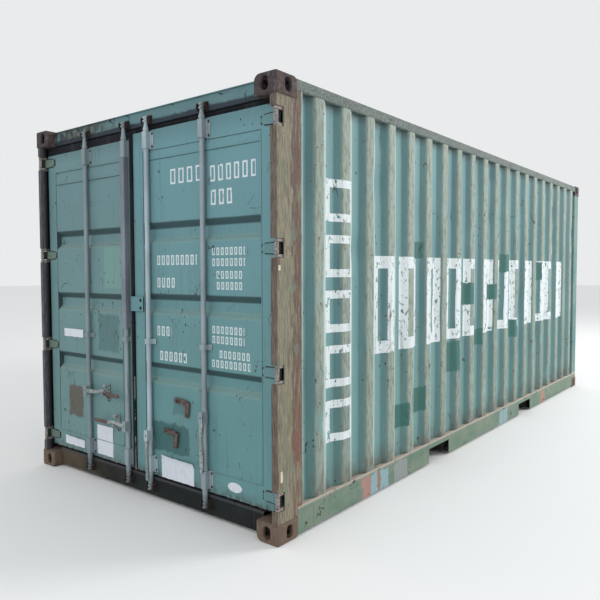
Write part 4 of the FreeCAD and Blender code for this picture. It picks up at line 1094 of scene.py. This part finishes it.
def casting_mesh():
    """The bottom casting at the door end, right-hand side."""
    x0, y0 = DOOR_X, -SIDE_Y
    body = Shape()
    pillow(body, uneven((y0, 0.0), (y0 + CAST_Y, CAST_Z), (0.012, CAST_BEND, 0.008, 0.008)), "x",
           x0, x0 + CAST_X, 0.009)
    hollow = Shape()
    pillow(hollow, rounded(y0 + 0.020, y0 + 0.150, 0.0285, 0.106, 0.012), "x", x0 + 0.020, x0 + 0.166, 0.010)
    far_end = Shape()
    end, bend = x0 + CAST_X, CAST_BEND
    trim = [(end + 0.01, -0.01), (end + 0.01, 0.045)]
    trim += arc((end - bend, bend), (bend, -bend), 0, 90, 8)
    trim.append((end - bend, -0.01))
    slab(far_end, trim, "y", y0 - 0.01, y0 + CAST_Y + 0.01, 0.001)
    slot = Shape()
    outline = [(x0 + 0.1025 + u, y0 + 0.0895 + v) for u, v in stadium(*SLOT_SIZE)]
    flared_hole(slot, outline, "z", 0.0, CUT_DEPTH, 0.006)
    end_port = Shape()
    outline = [(y0 + 0.089 + v, PORT_Z + u) for u, v in stadium(*PORT_SIZE)]
    flared_hole(end_port, outline, "x", x0, x0 + CUT_DEPTH, 0.005)
    side_port = Shape()
    outline = [(x0 + 0.1015 + v, PORT_Z + u) for u, v in stadium(*PORT_SIZE)]
    flared_hole(side_port, outline, "y", y0, y0 + CUT_DEPTH, 0.005)
    return cut_mesh(body, [far_end, hollow, slot, end_port, side_port])


def castings():
    """Four castings on each level, mirrored from one."""
    points, faces = casting_mesh()
    height = cad_high.z
    for name, top in (("bottom", False), ("top", True)):
        shape = Shape()
        for sx in (1, -1):
            for sy in (1, -1):
                shape.add([(sx * x, sy * y, height - z if top else z) for x, y, z in points], faces)
        for sx in (1, -1):
            for sy in (1, -1):
                casting_welds(shape, sx, sy, top)
        make_piece("castings_" + name, shape, "container", "casting", ["corner_castings_" + name],
                   crease=32)


def casting_welds(shape, sx, sy, top):
    """Welds where the post meets its casting."""
    z = cad_high.z - CAST_Z - 0.001 if top else CAST_Z + 0.001
    x0, y0 = sx * DOOR_X, -sy * SIDE_Y
    bead(shape, (x0 + sx * 0.018, y0 + sy * 0.006, z), (x0 + sx * 0.170, y0 + sy * 0.006, z), 0.0045,
         (0, 0, 1))
    bead(shape, (x0 + sx * 0.006, y0 + sy * 0.018, z), (x0 + sx * 0.006, y0 + sy * 0.05, z), 0.0045,
         (0, 0, 1))


# ---------------------------------------------------------------- door leaves
RECESS_Z = (0.850, 1.304, 1.768)
RECESS_HIGH = 0.130
RECESS_SLOPE = 0.032
RECESS_DEPTH = 0.036
LEFT_DROP = 0.012


def leaf_box(side):
    """Lowest and highest (y, z) of a leaf, from its frame node."""
    low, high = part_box("door_frame_" + side)
    return low.y, high.y, low.z, high.z


def door_sheets():
    """The pressed sheet of each leaf, with three level recesses."""
    for side, seed in (("right", 5), ("left", 6)):
        low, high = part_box("door_panel_" + side)
        drop = LEFT_DROP if side == "left" else 0.0
        path = [(low.z, 0.0)]
        for middle in RECESS_Z:
            bottom = middle - drop - RECESS_HIGH / 2
            path += [(bottom, 0.0), (bottom + RECESS_SLOPE, -RECESS_DEPTH),
                     (bottom + RECESS_HIGH - RECESS_SLOPE, -RECESS_DEPTH), (bottom + RECESS_HIGH, 0.0)]
        path.append((high.z, 0.0))
        path = divided(rounded_path(path, 0.012), 0.035)
        dent = dents(seed, ((low.z, high.z), (low.y, high.y)), 34, (0.04, 0.15), (0.001, 0.006), 0.0009)
        shape = Shape()
        folded_sheet(shape, path, low.y, high.y, 40,
                     lambda a, b, y: (LEAF_FACE + 0.001 - b, y, a), SHEET_THICK, dent)
        make_piece("door_sheet_" + side, shape, "door_" + side, "door_paint", ["door_panel_" + side])


def door_welds():
    """Weld lines round the sheet and across the leaf, and the rolled rim of each frame."""
    x = LEAF_SEAT
    for side in ("right", "left"):
        low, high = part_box("door_panel_" + side)
        shape = Shape()
        for y in (low.y, high.y):
            bead(shape, (x, y, low.z), (x, y, high.z), 0.0032, (1, 0, 0), 0.04)
        levels = (low.z, high.z, 2.244) if side == "right" else (low.z, 2.270, 2.180)
        for z in levels:
            bead(shape, (x, low.y, z), (x, high.y, z), 0.0030, (1, 0, 0), 0.04, z)
        y0, y1, z0, z1 = leaf_box(side)
        for y in (y0 + 0.004, y1 - 0.004):
            rim = rounded(y - 0.004, y + 0.004, z0 + 0.001, z1 - 0.001, 0.002, 2)
            slab(shape, rim, "x", x + 0.001, x - 0.0014, 0.0008)
        make_piece("door_seams_" + side, shape, "door_" + side, "door_paint")


def gaskets():
    """Ribbed rubber round each leaf, in the shape of a picture frame."""
    section = ((0.0, 0.070), (0.18, 0.066), (0.36, 0.073), (0.55, 0.066), (0.75, 0.073), (0.92, 0.068),
               (1.0, 0.074), (1.0, 0.093), (0.0, 0.094))
    for side in ("right", "left"):
        low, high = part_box("door_gasket_" + side)
        y0, y1, z0, z1 = leaf_box(side)
        corners = (((y0, z0), (low.y, low.z)), ((y1, z0), (high.y, low.z)),
                   ((y1, z1), (high.y, high.z)), ((y0, z1), (low.y, high.z)))
        rings = []
        for inner, outer in corners:
            a, b = Vector(inner), Vector(outer)
            ring = []
            for share, depth in section:
                y, z = a.lerp(b, share)
                ring.append((DOOR_X + depth, y, z))
            rings.append(ring)
        shape = Shape()
        loft(shape, rings + [rings[0]], caps=False)
        make_piece("gasket_" + side, shape, "door_" + side, "gasket_rubber", ["door_gasket_" + side],
                   crease=50)


HINGE_HALF = 0.033
EYE_R = 0.013
BLADE_END = 1.060
BLADE_RISE = 0.008


def hinges():
    """Forged hinges: an eye on the pin, an arm round the leaf's edge and a tapered blade."""
    for side, sign in SIDES:
        pin = PIN_AT[side]
        shape = Shape()
        for z in HINGE_Z:
            shape.paint = 1
            half = HINGE_HALF
            eye = [(0.0072, -half), (0.0118, -half), (EYE_R, -half + 0.002), (EYE_R, half - 0.002),
                   (0.0118, half), (0.0072, half)]
            lathe(shape, eye, (pin.x, pin.y, z), "z", 18)
            shape.paint = 0
            root = pin.y + sign * 0.001
            edge = pin.y - sign * 0.0125
            arm = [(pin.x + 0.002, edge), (LEAF_FACE - 0.004, edge), (LEAF_SEAT, edge - sign * 0.006),
                   (LEAF_SEAT, root), (pin.x + 0.002, root)]
            slab(shape, arm, "z", z - half + 0.001, z + half - 0.001, 0.002)
            end = sign * BLADE_END
            start = root - sign * 0.004
            blade = [(start, z - 0.032), (end + sign * 0.030, z - 0.027)]
            blade += arc((end + sign * 0.020, z), (-sign * 0.020, 0.026), -90, 90, 6)
            blade += [(end + sign * 0.030, z + 0.027), (start, z + 0.032)]
            slab(shape, blade, "x", LEAF_SEAT, LEAF_FACE - BLADE_RISE, 0.0025)
            # very dark rusty beads round each blade: weld rust, and painted shade of the gap round the blade
            shape.paint = 2
            face = LEAF_FACE - 0.001
            for rim in (-1, 1):
                bead(shape, (face, start, z + rim * 0.0335), (face, end + sign * 0.022, z + rim * 0.0285),
                     0.0042, (1, 0, 0), 0.012)
            bead(shape, (face, end - sign * 0.001, z - 0.024), (face, end - sign * 0.001, z + 0.024),
                 0.0040, (1, 0, 0), 0.010)
            shape.paint = 0
        paints = [hinge_paint(side), MATERIAL["hinge_steel"], MATERIAL["keeper_steel"]]
        make_piece("hinge_forgings_" + side, shape, "door_" + side, "door_paint",
                   ["hinge_blades_" + side], paints)
    shape = Shape()
    for side in ("right", "left"):
        pin = PIN_AT[side]
        for z in HINGE_Z:
            for way in (-1, 1):
                near = way * 0.035
                far = way * 0.0515
                lathe(shape, [(0.004, near), (0.0125, near), (0.0132, near + way * 0.002),
                              (0.0132, far - way * 0.002), (0.0118, far), (0.0085, far),
                              (0.0080, far + way * 0.004), (0.0060, far + way * 0.005)],
                      (pin.x, pin.y, z), "z", 18)
    make_piece("hinge_pin_heads", shape, "container", "hinge_steel")


def hinge_paint(side):
    """Door paint on the hinge forgings, worn dark in spots, with painted shade on the faces turned to the sides.
    """
    p = Paint("hinge_paint_" + side)
    fine = p.noise(0.008, detail=4, rough=0.65, seed=191)
    base = (0.12, 0.245, 0.26) if side == "right" else (0.13, 0.19, 0.155)
    p.colour = p.scaled(base, p.plus(0.75, p.times(fine, 0.5)))
    p.lay((0.055, 0.075, 0.07), p.step(fine, 0.52, 0.6), 0.6)
    # painted shade: faces turned to the sides, in the slot of the post and the gap by the leaf, are darkened
    returns = p.step(p.size(p.ny), 0.6, 0.8)
    p.lay((0.010, 0.012, 0.012), returns, 0.9)
    rust = p.rust(0.05, 193, 0.02)
    return p.finish(p.plus(0.45, p.times(fine, 0.3)), p.minus(fine, rust), relief=0.001)


# ---------------------------------------------------------------- lock gear
PIPE_R = 0.0165
SLEEVE_R = 0.0215
PLATE_D = 0.0552
PLATE_HALF = 0.050
BOLT_HEAD = 0.0030
SADDLE_HALF = 0.0214
SADDLE_BEND = 0.010
TOP_BEARING = (2.314, 2.426)
MIDDLE_BEARING = (1.040, 1.076)
LOW_BEARING = (0.186, 0.298)
LEFT_LEAF_DROP = 0.028


def bearing_spans(n):
    """Lowest and highest z of the top, middle and bottom bearings of a lock bar."""
    drop = LEFT_LEAF_DROP if n <= 2 else 0.0
    return (TOP_BEARING[0] - drop, TOP_BEARING[1] - drop), MIDDLE_BEARING, LOW_BEARING


def plate_sides(n):
    """Where a bearing's plate starts and ends along y; the meeting edge crops the second."""
    y = ROD_AT[n].y
    return (0.141, 0.214) if n == 2 else (y - PLATE_HALF, y + PLATE_HALF)


def saddle_outline(n):
    """A flat-fronted strap bent round the pipe, with feet on its plate, open at the back."""
    x, y = ROD_AT[n].x, ROD_AT[n].y
    back = DOOR_X + PLATE_D + 0.0004
    foot_low, foot_high = plate_sides(n)
    foot = max(SADDLE_HALF + 0.001, min(0.036, y - foot_low - 0.0005, foot_high - y - 0.0005))
    front = x - SLEEVE_R
    outer = [(back, y - foot), (back - 0.0024, y - foot), (back - 0.0026, y - SADDLE_HALF)]
    for sign, first in ((-1, 270), (1, 180)):
        outer += arc((front + SADDLE_BEND, y + sign * (SADDLE_HALF - SADDLE_BEND)), SADDLE_BEND, first,
                     first - 90, 4)
    outer += [(back - 0.0026, y + SADDLE_HALF), (back - 0.0024, y + foot), (back, y + foot)]
    inner_r = SLEEVE_R - 0.0042
    inner = arc((x, y), inner_r, 90, 270, 8)
    return outer + [(back, y + inner_r)] + inner + [(back, y - inner_r)]


def bearings():
    """Plates, straps and bolts that hold the lock bars."""
    for side, rods in (("left", (1, 2)), ("right", (3, 4))):
        shape = Shape()
        for n in rods:
            y0, y1 = plate_sides(n)
            for place, (z0, z1) in zip(("top", "middle", "bottom"), bearing_spans(n)):
                shape.paint = 0
                slab(shape, rounded(y0, y1, z0, z1, 0.007), "x", DOOR_X + 0.0598, DOOR_X + PLATE_D, 0.0012)
                saddle = saddle_outline(n)
                slab(shape, saddle, "z", z0 + 0.001, z1 - 0.001, 0.0007)
                if place == "middle":
                    continue
                shape.paint = 1
                for y in (y0 + 0.0105, y1 - 0.0105):
                    if abs(y - ROD_AT[n].y) < 0.030:
                        continue
                    for z in (z0 + 0.014, z1 - 0.014):
                        bolt(shape, (DOOR_X + PLATE_D, y, z), (-1, 0), 0.0072, BOLT_HEAD)
        make_piece("bearings_" + side, shape, "door_" + side, "galvanised", ["rod_brackets_" + side],
                   [MATERIAL["galvanised"], BOLT_STEEL], crease=30)


def cam_outline(x, y, turn_way):
    """A cam seen from above: a round heart, a lobe into the keeper and a hooked nose."""
    points = []
    for angle, radius in ((0, 0.0172), (30, 0.0165), (60, 0.0148), (90, 0.0150), (125, 0.0158),
                          (155, 0.0205), (180, 0.0215), (205, 0.0195), (235, 0.0150), (270, 0.0148),
                          (300, 0.0150), (330, 0.0168)):
        turn = math.radians(angle)
        points.append((x + radius * math.cos(turn), y + turn_way * radius * math.sin(turn)))
    return points


def lock_rods():
    """Lock bars: pipe and collars, a cam at each end and the hub of the handle."""
    for n in (1, 2, 3, 4):
        x, y = ROD_AT[n].x, ROD_AT[n].y
        top_span, _, low_span = bearing_spans(n)
        turn_way = 1 if n in (1, 3) else -1
        shape = Shape()
        pipe = [(0.0120, 0.100), (0.0150, 0.112), (PIPE_R, 0.120)]
        for collar in (low_span[0] - 0.014, low_span[1] + 0.004, top_span[0] - 0.016):
            pipe += [(PIPE_R, collar), (0.0192, collar + 0.001), (0.0196, collar + 0.009),
                     (PIPE_R, collar + 0.0105)]
        pipe = sorted(pipe, key=lambda pair: pair[1])
        pipe += [(PIPE_R, top_span[1] + 0.004), (0.0190, top_span[1] + 0.010), (0.0192, top_span[1] + 0.020),
                 (0.0160, top_span[1] + 0.028), (0.0125, 2.466), (0.0118, 2.486)]
        lathe(shape, pipe, (x, y, 0), "z", 22)
        for z in (TOP_CAM_Z, BOTTOM_CAM_Z):
            slab(shape, cam_outline(x, y, turn_way), "z", z - 0.017, z - 0.004, 0.003)
            slab(shape, cam_outline(x, y, turn_way), "z", z + 0.005, z + 0.017, 0.003)
            lathe(shape, [(0.0135, -0.006), (0.0135, 0.006)], (x, y, z), "z", 16)
        lathe(shape, [(0.0110, 0.015), (0.0112, 0.020), (0.0085, 0.024), (0.0040, 0.0245)],
              (x, y, TOP_CAM_Z), "z", 16)
        hub(shape, n)
        make_piece("lock_bar_%d" % n, shape, "rod_%d" % n, "galvanised", ["lock_rod_%d" % n],
                   [MATERIAL["galvanised"], BOLT_STEEL], crease=32)


HUB_WIDE = 0.0185
HUB_TALL = 0.036


def hub(shape, n):
    """The clevis on a lock bar: a block, a front cheek and the pin through the handle's eye."""
    pivot = PIVOT_AT[n]
    x, y = ROD_AT[n].x, ROD_AT[n].y
    z = pivot.z
    sleeve = [(PIPE_R, -0.056), (0.0185, -0.052), (0.0190, -0.040), (0.0200, -0.034), (0.0200, 0.034),
              (0.0190, 0.040), (0.0185, 0.052), (PIPE_R, 0.056)]
    lathe(shape, sleeve, (x, y, z), "z", 20)
    block = rounded(y - HUB_WIDE, y + HUB_WIDE, z - HUB_TALL, z + HUB_TALL, 0.007)
    slab(shape, block, "x", x, DOOR_X + 0.0125, 0.0025)
    slab(shape, block, "x", DOOR_X + 0.0022, DOOR_X + 0.0008, 0.0006)
    shape.paint = 1
    rivet = [(0.0060, 0.012), (0.0060, 0.0009), (0.0052, 0.0002)]
    lathe(shape, rivet, (DOOR_X, y, z), "x", 14)


# the eye end of every handle, then each handle: distance from the pivot, rise, half width
HANDLE_EYE = ((-0.014, 0, 0.011), (-0.006, 0, 0.0155))
HANDLE_SHAPES = {
    1: ((0.010, 0, 0.0165), (0.050, 0, 0.015), (0.110, 0.002, 0.013), (0.155, 0.007, 0.012),
        (0.185, 0.017, 0.0115), (0.200, 0.0195, 0.0115), (0.228, 0.0195, 0.0115),
        (0.245, 0.013, 0.0115), (0.268, 0.004, 0.012), (0.300, 0.001, 0.0135), (0.385, 0.001, 0.014),
        (0.396, 0.001, 0.012), (0.400, 0.001, 0.008)),
    2: ((0.010, 0, 0.0165), (0.040, 0.001, 0.014), (0.080, 0.005, 0.012), (0.112, 0.010, 0.0115),
        (0.150, 0.010, 0.0115), (0.175, 0.004, 0.012), (0.205, 0.001, 0.0135), (0.330, 0.001, 0.014),
        (0.341, 0.001, 0.012), (0.345, 0.001, 0.008)),
    3: ((0.010, 0, 0.016), (0.050, 0.001, 0.013), (0.090, 0.005, 0.0105), (0.116, 0.005, 0.010),
        (0.138, 0.002, 0.0102), (0.165, 0, 0.011), (0.200, -0.001, 0.0114), (0.250, -0.002, 0.0116),
        (0.264, -0.002, 0.0124), (0.286, -0.002, 0.0124), (0.296, -0.002, 0.0105),
        (0.300, -0.002, 0.0075)),
    4: ((0.010, 0, 0.0165), (0.055, 0.001, 0.0135), (0.100, 0.006, 0.0105), (0.150, 0.008, 0.010),
        (0.185, 0.004, 0.0125), (0.225, 0, 0.0142), (0.300, 0, 0.0138), (0.322, 0.001, 0.0116),
        (0.338, 0.001, 0.0104), (0.345, 0.001, 0.0072)),
}
HANDLE_WAY = {1: (-1, 0), 2: (1, 0), 3: (0, -1), 4: (0, -1)}


def handles():
    """Forged handles, bent to reach their catches, each with an eye."""
    for n, stations in HANDLE_SHAPES.items():
        pivot = PIVOT_AT[n]
        along = Vector((0, HANDLE_WAY[n][0], HANDLE_WAY[n][1]))
        rise = Vector((0, 0, 1)) if HANDLE_WAY[n][0] else Vector((0, 1, 0))
        path, sections = [], []
        for distance, lift, half in HANDLE_EYE + stations:
            path.append(tuple(Vector((DOOR_X + 0.0070, pivot.y, pivot.z)) + along * distance + rise * lift))
            thick = 0.0044 if half > 0.009 else 0.0034
            sections.append((half, thick))
        shape = Shape()
        sweep(shape, path, sections, (1, 0, 0), 14, 3.2)
        eye = [(0.0072, 0.0114), (0.0150, 0.0112), (0.0155, 0.0100), (0.0155, 0.0040), (0.0150, 0.0028),
               (0.0072, 0.0026)]
        lathe(shape, eye, (DOOR_X, pivot.y, pivot.z), "x", 18)
        make_piece("handle_forging_%d" % n, shape, "handle_%d" % n, "galvanised", ["rod_handle_%d" % n],
                   [HANDLE_PAINT], crease=40)


def keepers():
    """Forged keepers on the header and sill: a plate and two hooked cheeks each."""
    face = HEADER_FACE
    shape = Shape()
    for n in (1, 2, 3, 4):
        y = ROD_AT[n].y
        for z in (TOP_CAM_Z, BOTTOM_CAM_Z):
            slab(shape, rounded(y - 0.0375, y + 0.0375, z - 0.026, z + 0.026, 0.008), "x", face + 0.001,
                 face - 0.0038)
            cheek = steps_from((face, z), (0, -0.024), (-0.016, -0.0255), (-0.030, -0.022),
                               (-0.038, -0.014), (-0.0395, -0.002), (-0.037, 0.012),
                               (-0.030, 0.020), (-0.018, 0.0245), (0, 0.024))
            for sign in (-1, 1):
                slab(shape, cheek, "y", y + sign * 0.0282, y + sign * 0.0368, 0.002)
            for zz in (z - 0.027, z + 0.027):
                bead(shape, (face - 0.001, y - 0.034, zz), (face - 0.001, y + 0.034, zz), 0.0035,
                     (1, 0, 0), 0.01)
    make_piece("keeper_forgings", shape, "container", "keeper_steel", ["cam_keepers"])


def guard():
    """The channel over the upper half of lock bar 2, folded from plate."""
    low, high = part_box("rod_guard")
    outline = [(high.x, low.y), (low.x + 0.004, low.y), (low.x, low.y + 0.004), (low.x, high.y - 0.004),
               (low.x + 0.004, high.y), (high.x, high.y), (high.x, high.y - 0.003),
               (low.x + 0.005, high.y - 0.003), (low.x + 0.003, high.y - 0.005),
               (low.x + 0.003, low.y + 0.005), (low.x + 0.005, low.y + 0.003), (high.x, low.y + 0.003)]
    shape = Shape()
    slab(shape, outline, "z", low.z, high.z, 0.0006)
    for z in np.linspace(low.z + 0.06, high.z - 0.06, 5):
        slab(shape, rounded(high.y - 0.001, high.y + 0.024, z - 0.018, z + 0.018, 0.005), "x",
             LEAF_SEAT, LEAF_FACE - 0.005, 0.001)
    make_piece("guard_channel", shape, "door_left", "galvanised", ["rod_guard"], [GUARD_PAINT])


def overlap():
    """The plate on the right leaf that laps towards the left one."""
    low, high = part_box("overlap_plate")
    shape = Shape()
    slab(shape, rounded(low.y, high.y, low.z, high.z, 0.008), "x", low.x + 0.0055, low.x, 0.0015)
    slab(shape, rounded(low.y + 0.004, 0.090, low.z + 0.008, high.z - 0.008, 0.006), "x",
         LEAF_SEAT, low.x + 0.005, 0.001)
    shape.paint = 1
    for z in (low.z + 0.024, high.z - 0.024):
        bolt(shape, (low.x + 0.0002, low.y + 0.026, z), (-1, 0), 0.008, 0.007)
    make_piece("overlap_forging", shape, "door_right", "door_paint", ["overlap_plate"],
               [MATERIAL["door_paint"], BOLT_STEEL])


CATCH_AT = {1: (0.410, 0.655, 0.0195), 2: (0.296, 0.458, 0.010)}
HOOK_AT = {3: (-0.200, 0.500), 4: (-0.312, 0.712)}


def catches():
    """Catches for handles 1 and 2, and the hooked brackets on the right leaf."""
    shape = Shape()
    back, front = LEAF_SEAT, DOOR_X + 0.0022
    for y, z, lift in CATCH_AT.values():
        shape.paint = 0
        slab(shape, rounded(y - 0.015, y + 0.015, z - 0.062, z + 0.062, 0.010), "x", back,
             LEAF_FACE - 0.006, 0.0015)
        top = z + lift - 0.0165
        arm = [(front, top - 0.001), (DOOR_X + 0.008, top), (DOOR_X + 0.054, top),
               (DOOR_X + 0.054, z - 0.050), (DOOR_X + 0.042, z - 0.046), (DOOR_X + 0.026, top - 0.020),
               (front, top - 0.011)]
        slab(shape, arm, "y", y - 0.010, y + 0.010, 0.002)
        crook = steps_from((DOOR_X, z), (0.0135, 0.050), (0.018, 0.059), (0.030, 0.062),
                           (0.055, 0.056), (0.055, 0.030), (0.040, 0.034), (0.028, 0.050),
                           (0.020, 0.047), (0.0165, 0.038))
        slab(shape, crook, "y", y - 0.009, y + 0.009, 0.0018)
        shape.paint = 1
        bolt(shape, (LEAF_FACE - 0.006, y, z - 0.054), (-1, 0), 0.006, 0.005)
    make_piece("handle_retainers", shape, "door_left", "galvanised", ["handle_catches_left"],
               [HANDLE_PAINT, BOLT_STEEL])
    shape = Shape()
    for y, z in HOOK_AT.values():
        outline = steps_from((y, z), (0, 0), (-0.060, -0.002), (-0.118, -0.010), (-0.138, -0.020),
                             (-0.134, -0.060), (-0.124, -0.116), (-0.092, -0.116),
                             (-0.098, -0.070), (-0.094, -0.046), (-0.068, -0.036), (0, -0.034))
        slab(shape, outline, "x", LEAF_SEAT, LEAF_FACE - 0.0138, 0.003)
        lathe(shape, [(0.009, 0.0), (0.010, -0.004), (0.009, -0.009), (0.004, -0.010)],
              (LEAF_FACE - 0.0135, y - 0.018, z - 0.018), "x", 14)
    make_piece("handle_hooks", shape, "door_right", "galvanised", ["handle_catches_right"], [CATCH_RUST])


def paper(name, side, spans, material, curl=0.0):
    """A sticker on a leaf: a thin sheet, its top edge lifted by curl."""
    y0, y1, z0, z1 = spans
    shape = Shape()
    columns, rows = 10, 10
    front, back = [], []
    for j in range(rows + 1):
        v = j / rows
        for i in range(columns + 1):
            u = i / columns
            ragged = 0.004 * noise.noise(Vector((u * 9, v * 9, y0 * 50)))
            lift = curl * max(0.0, v - 0.72) ** 2 * 12 * (0.6 + 0.4 * math.sin(3.1 * u + 1))
            y = y0 + (y1 - y0) * u + (ragged if i in (0, columns) else 0.0)
            z = z0 + (z1 - z0) * v + (ragged if j in (0, rows) else 0.0)
            front.append((LEAF_FACE - 0.0011 - lift, y, z))
            back.append((LEAF_FACE - 0.0003 - lift, y, z))
    faces = []
    width = columns + 1
    count = len(front)
    for j in range(rows):
        for i in range(columns):
            a = j * width + i
            faces.append((a, a + 1, a + width + 1, a + width))
            faces.append((count + a + width, count + a + width + 1, count + a + 1, count + a))
    rim = list(range(width)) + [j * width + columns for j in range(1, rows + 1)]
    rim += [rows * width + i for i in range(columns - 1, -1, -1)] + [j * width for j in range(rows - 1, 0,
            -1)]
    for a, b in zip(rim, rim[1:] + rim[:1]):
        faces.append((a, count + a, count + b, b))
    shape.add(front + back, faces)
    make_piece(name, shape, "door_" + side, "door_paint", materials=[material])


def labels():
    """Blank stickers on the leaves and two tags on the right-hand post."""
    paper("label_right_low", "right", (-0.475, -0.163, 0.165, 0.312), WHITE_LABEL, 0.02)
    paper("label_left_square", "left", (0.372, 0.565, 0.190, 0.405), WHITE_LABEL)
    paper("label_left_torn", "left", (0.730, 0.985, 0.196, 0.262), WHITE_LABEL, 0.01)
    paper("label_left_small", "left", (0.722, 0.975, 1.028, 1.088), WHITE_LABEL)
    shape = Shape()
    oval = arc((-0.832, 0.236), (0.058, 0.029), 0, 345, 23)
    slab(shape, oval, "x", LEAF_FACE - 0.0003, LEAF_FACE - 0.0013, 0.0003)
    make_piece("label_right_oval", shape, "door_right", "door_paint", materials=[WHITE_LABEL])
    shape = Shape()
    face = -SIDE_Y + 0.004
    for x, z, high in ((-3.008, 1.537, 0.030), (-2.996, 0.385, 0.062)):
        slab(shape, rounded(x - 0.008, x + 0.010, z - high / 2, z + high / 2, 0.003), "y", face,
             face - 0.0012, 0.0003)
    make_piece("post_tags", shape, "container", "post_paint", materials=[CREAM_TAG])


def wall_welds():
    """Weld lines where the side sheets meet the rails and the door posts."""
    for side, sign in SIDES:
        low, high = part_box("side_wall_" + side)
        shape = Shape()
        y = sign * (SIDE_Y - 0.0075)
        bead(shape, (low.x, y, low.z + 0.003), (low.x, y, high.z - 0.003), 0.0035, (0, 1, 0), 0.04)
        for z in (low.z, high.z):
            bead(shape, (low.x, sign * (SIDE_Y - 0.010), z), (high.x, sign * (SIDE_Y - 0.010), z), 0.0035,
                 (0, 1, 0), 0.06)
        make_piece("wall_seams_" + side, shape, "container", "frame_paint")


castings()
door_sheets()
door_welds()
gaskets()
hinges()
bearings()
lock_rods()
handles()
keepers()
guard()
overlap()
catches()
labels()
wall_welds()

# ---------------------------------------------------------------- floor, light and camera
CAMERA_AT = (-5.5582, -3.3671, 1.5210)
CAMERA_YAW = 38.24
CAMERA_PITCH = -2.72
CAMERA_ROLL = -0.156
CAMERA_LENS = 37.02
SENSOR_WIDE = 36.0
FLOOR_REACH = 60.0


def add_floor():
    """A wide, plain, pale floor."""
    mesh = bpy.data.meshes.new("floor")
    corners = [(FLOOR_REACH * u, FLOOR_REACH * v, 0) for u, v in ((-1, -1), (1, -1), (1, 1), (-1, 1))]
    mesh.from_pydata(corners, [], [(0, 1, 2, 3)])
    floor = put_in_scene("floor", mesh)
    material = bpy.data.materials.new("pale_floor")
    material.use_nodes = True
    surface = material.node_tree.nodes["Principled BSDF"]
    surface.inputs["Base Color"].default_value = (0.86, 0.86, 0.86, 1)
    surface.inputs["Roughness"].default_value = 0.9
    mesh.materials.append(material)


def add_light(name, power, at, towards, size):
    """A square soft light of a size, aimed at a point."""
    light = bpy.data.lights.new(name, "AREA")
    light.energy = power
    light.size = size
    lamp = put_in_scene(name, light)
    lamp.location = at
    lamp.rotation_euler = (Vector(towards) - Vector(at)).to_track_quat("-Z", "Y").to_euler()


def add_camera():
    """The view on the door end and the right-hand side."""
    data = bpy.data.cameras.new("camera")
    data.lens = CAMERA_LENS
    data.sensor_width = SENSOR_WIDE
    camera = put_in_scene("camera", data)
    yaw, pitch = math.radians(CAMERA_YAW), math.radians(CAMERA_PITCH)
    ahead = Vector((math.cos(yaw) * math.cos(pitch), math.sin(yaw) * math.cos(pitch), math.sin(pitch)))
    camera.location = CAMERA_AT
    turn = ahead.to_track_quat("-Z", "Y").to_matrix().to_4x4()
    roll = Matrix.Rotation(math.radians(CAMERA_ROLL), 4, "Z")
    camera.rotation_euler = (turn @ roll).to_euler()
    bpy.context.scene.camera = camera


def add_world():
    """Even, pale light from all round."""
    world = bpy.data.worlds.new("studio")
    bpy.context.scene.world = world
    world.use_nodes = True
    sky = world.node_tree.nodes["Background"]
    sky.inputs["Color"].default_value = (0.975, 0.99, 1.0, 1)
    sky.inputs["Strength"].default_value = 0.84


bpy.context.scene.view_settings.view_transform = "Standard"
add_floor()
add_world()
add_light("key", 1150, (9.0, -9.5, 6.0), (0, -1.0, 1.2), 5.0)
add_light("fill", 220, (-12.0, -1.5, 5.5), (-3, 0, 1.2), 6.0)
add_camera()
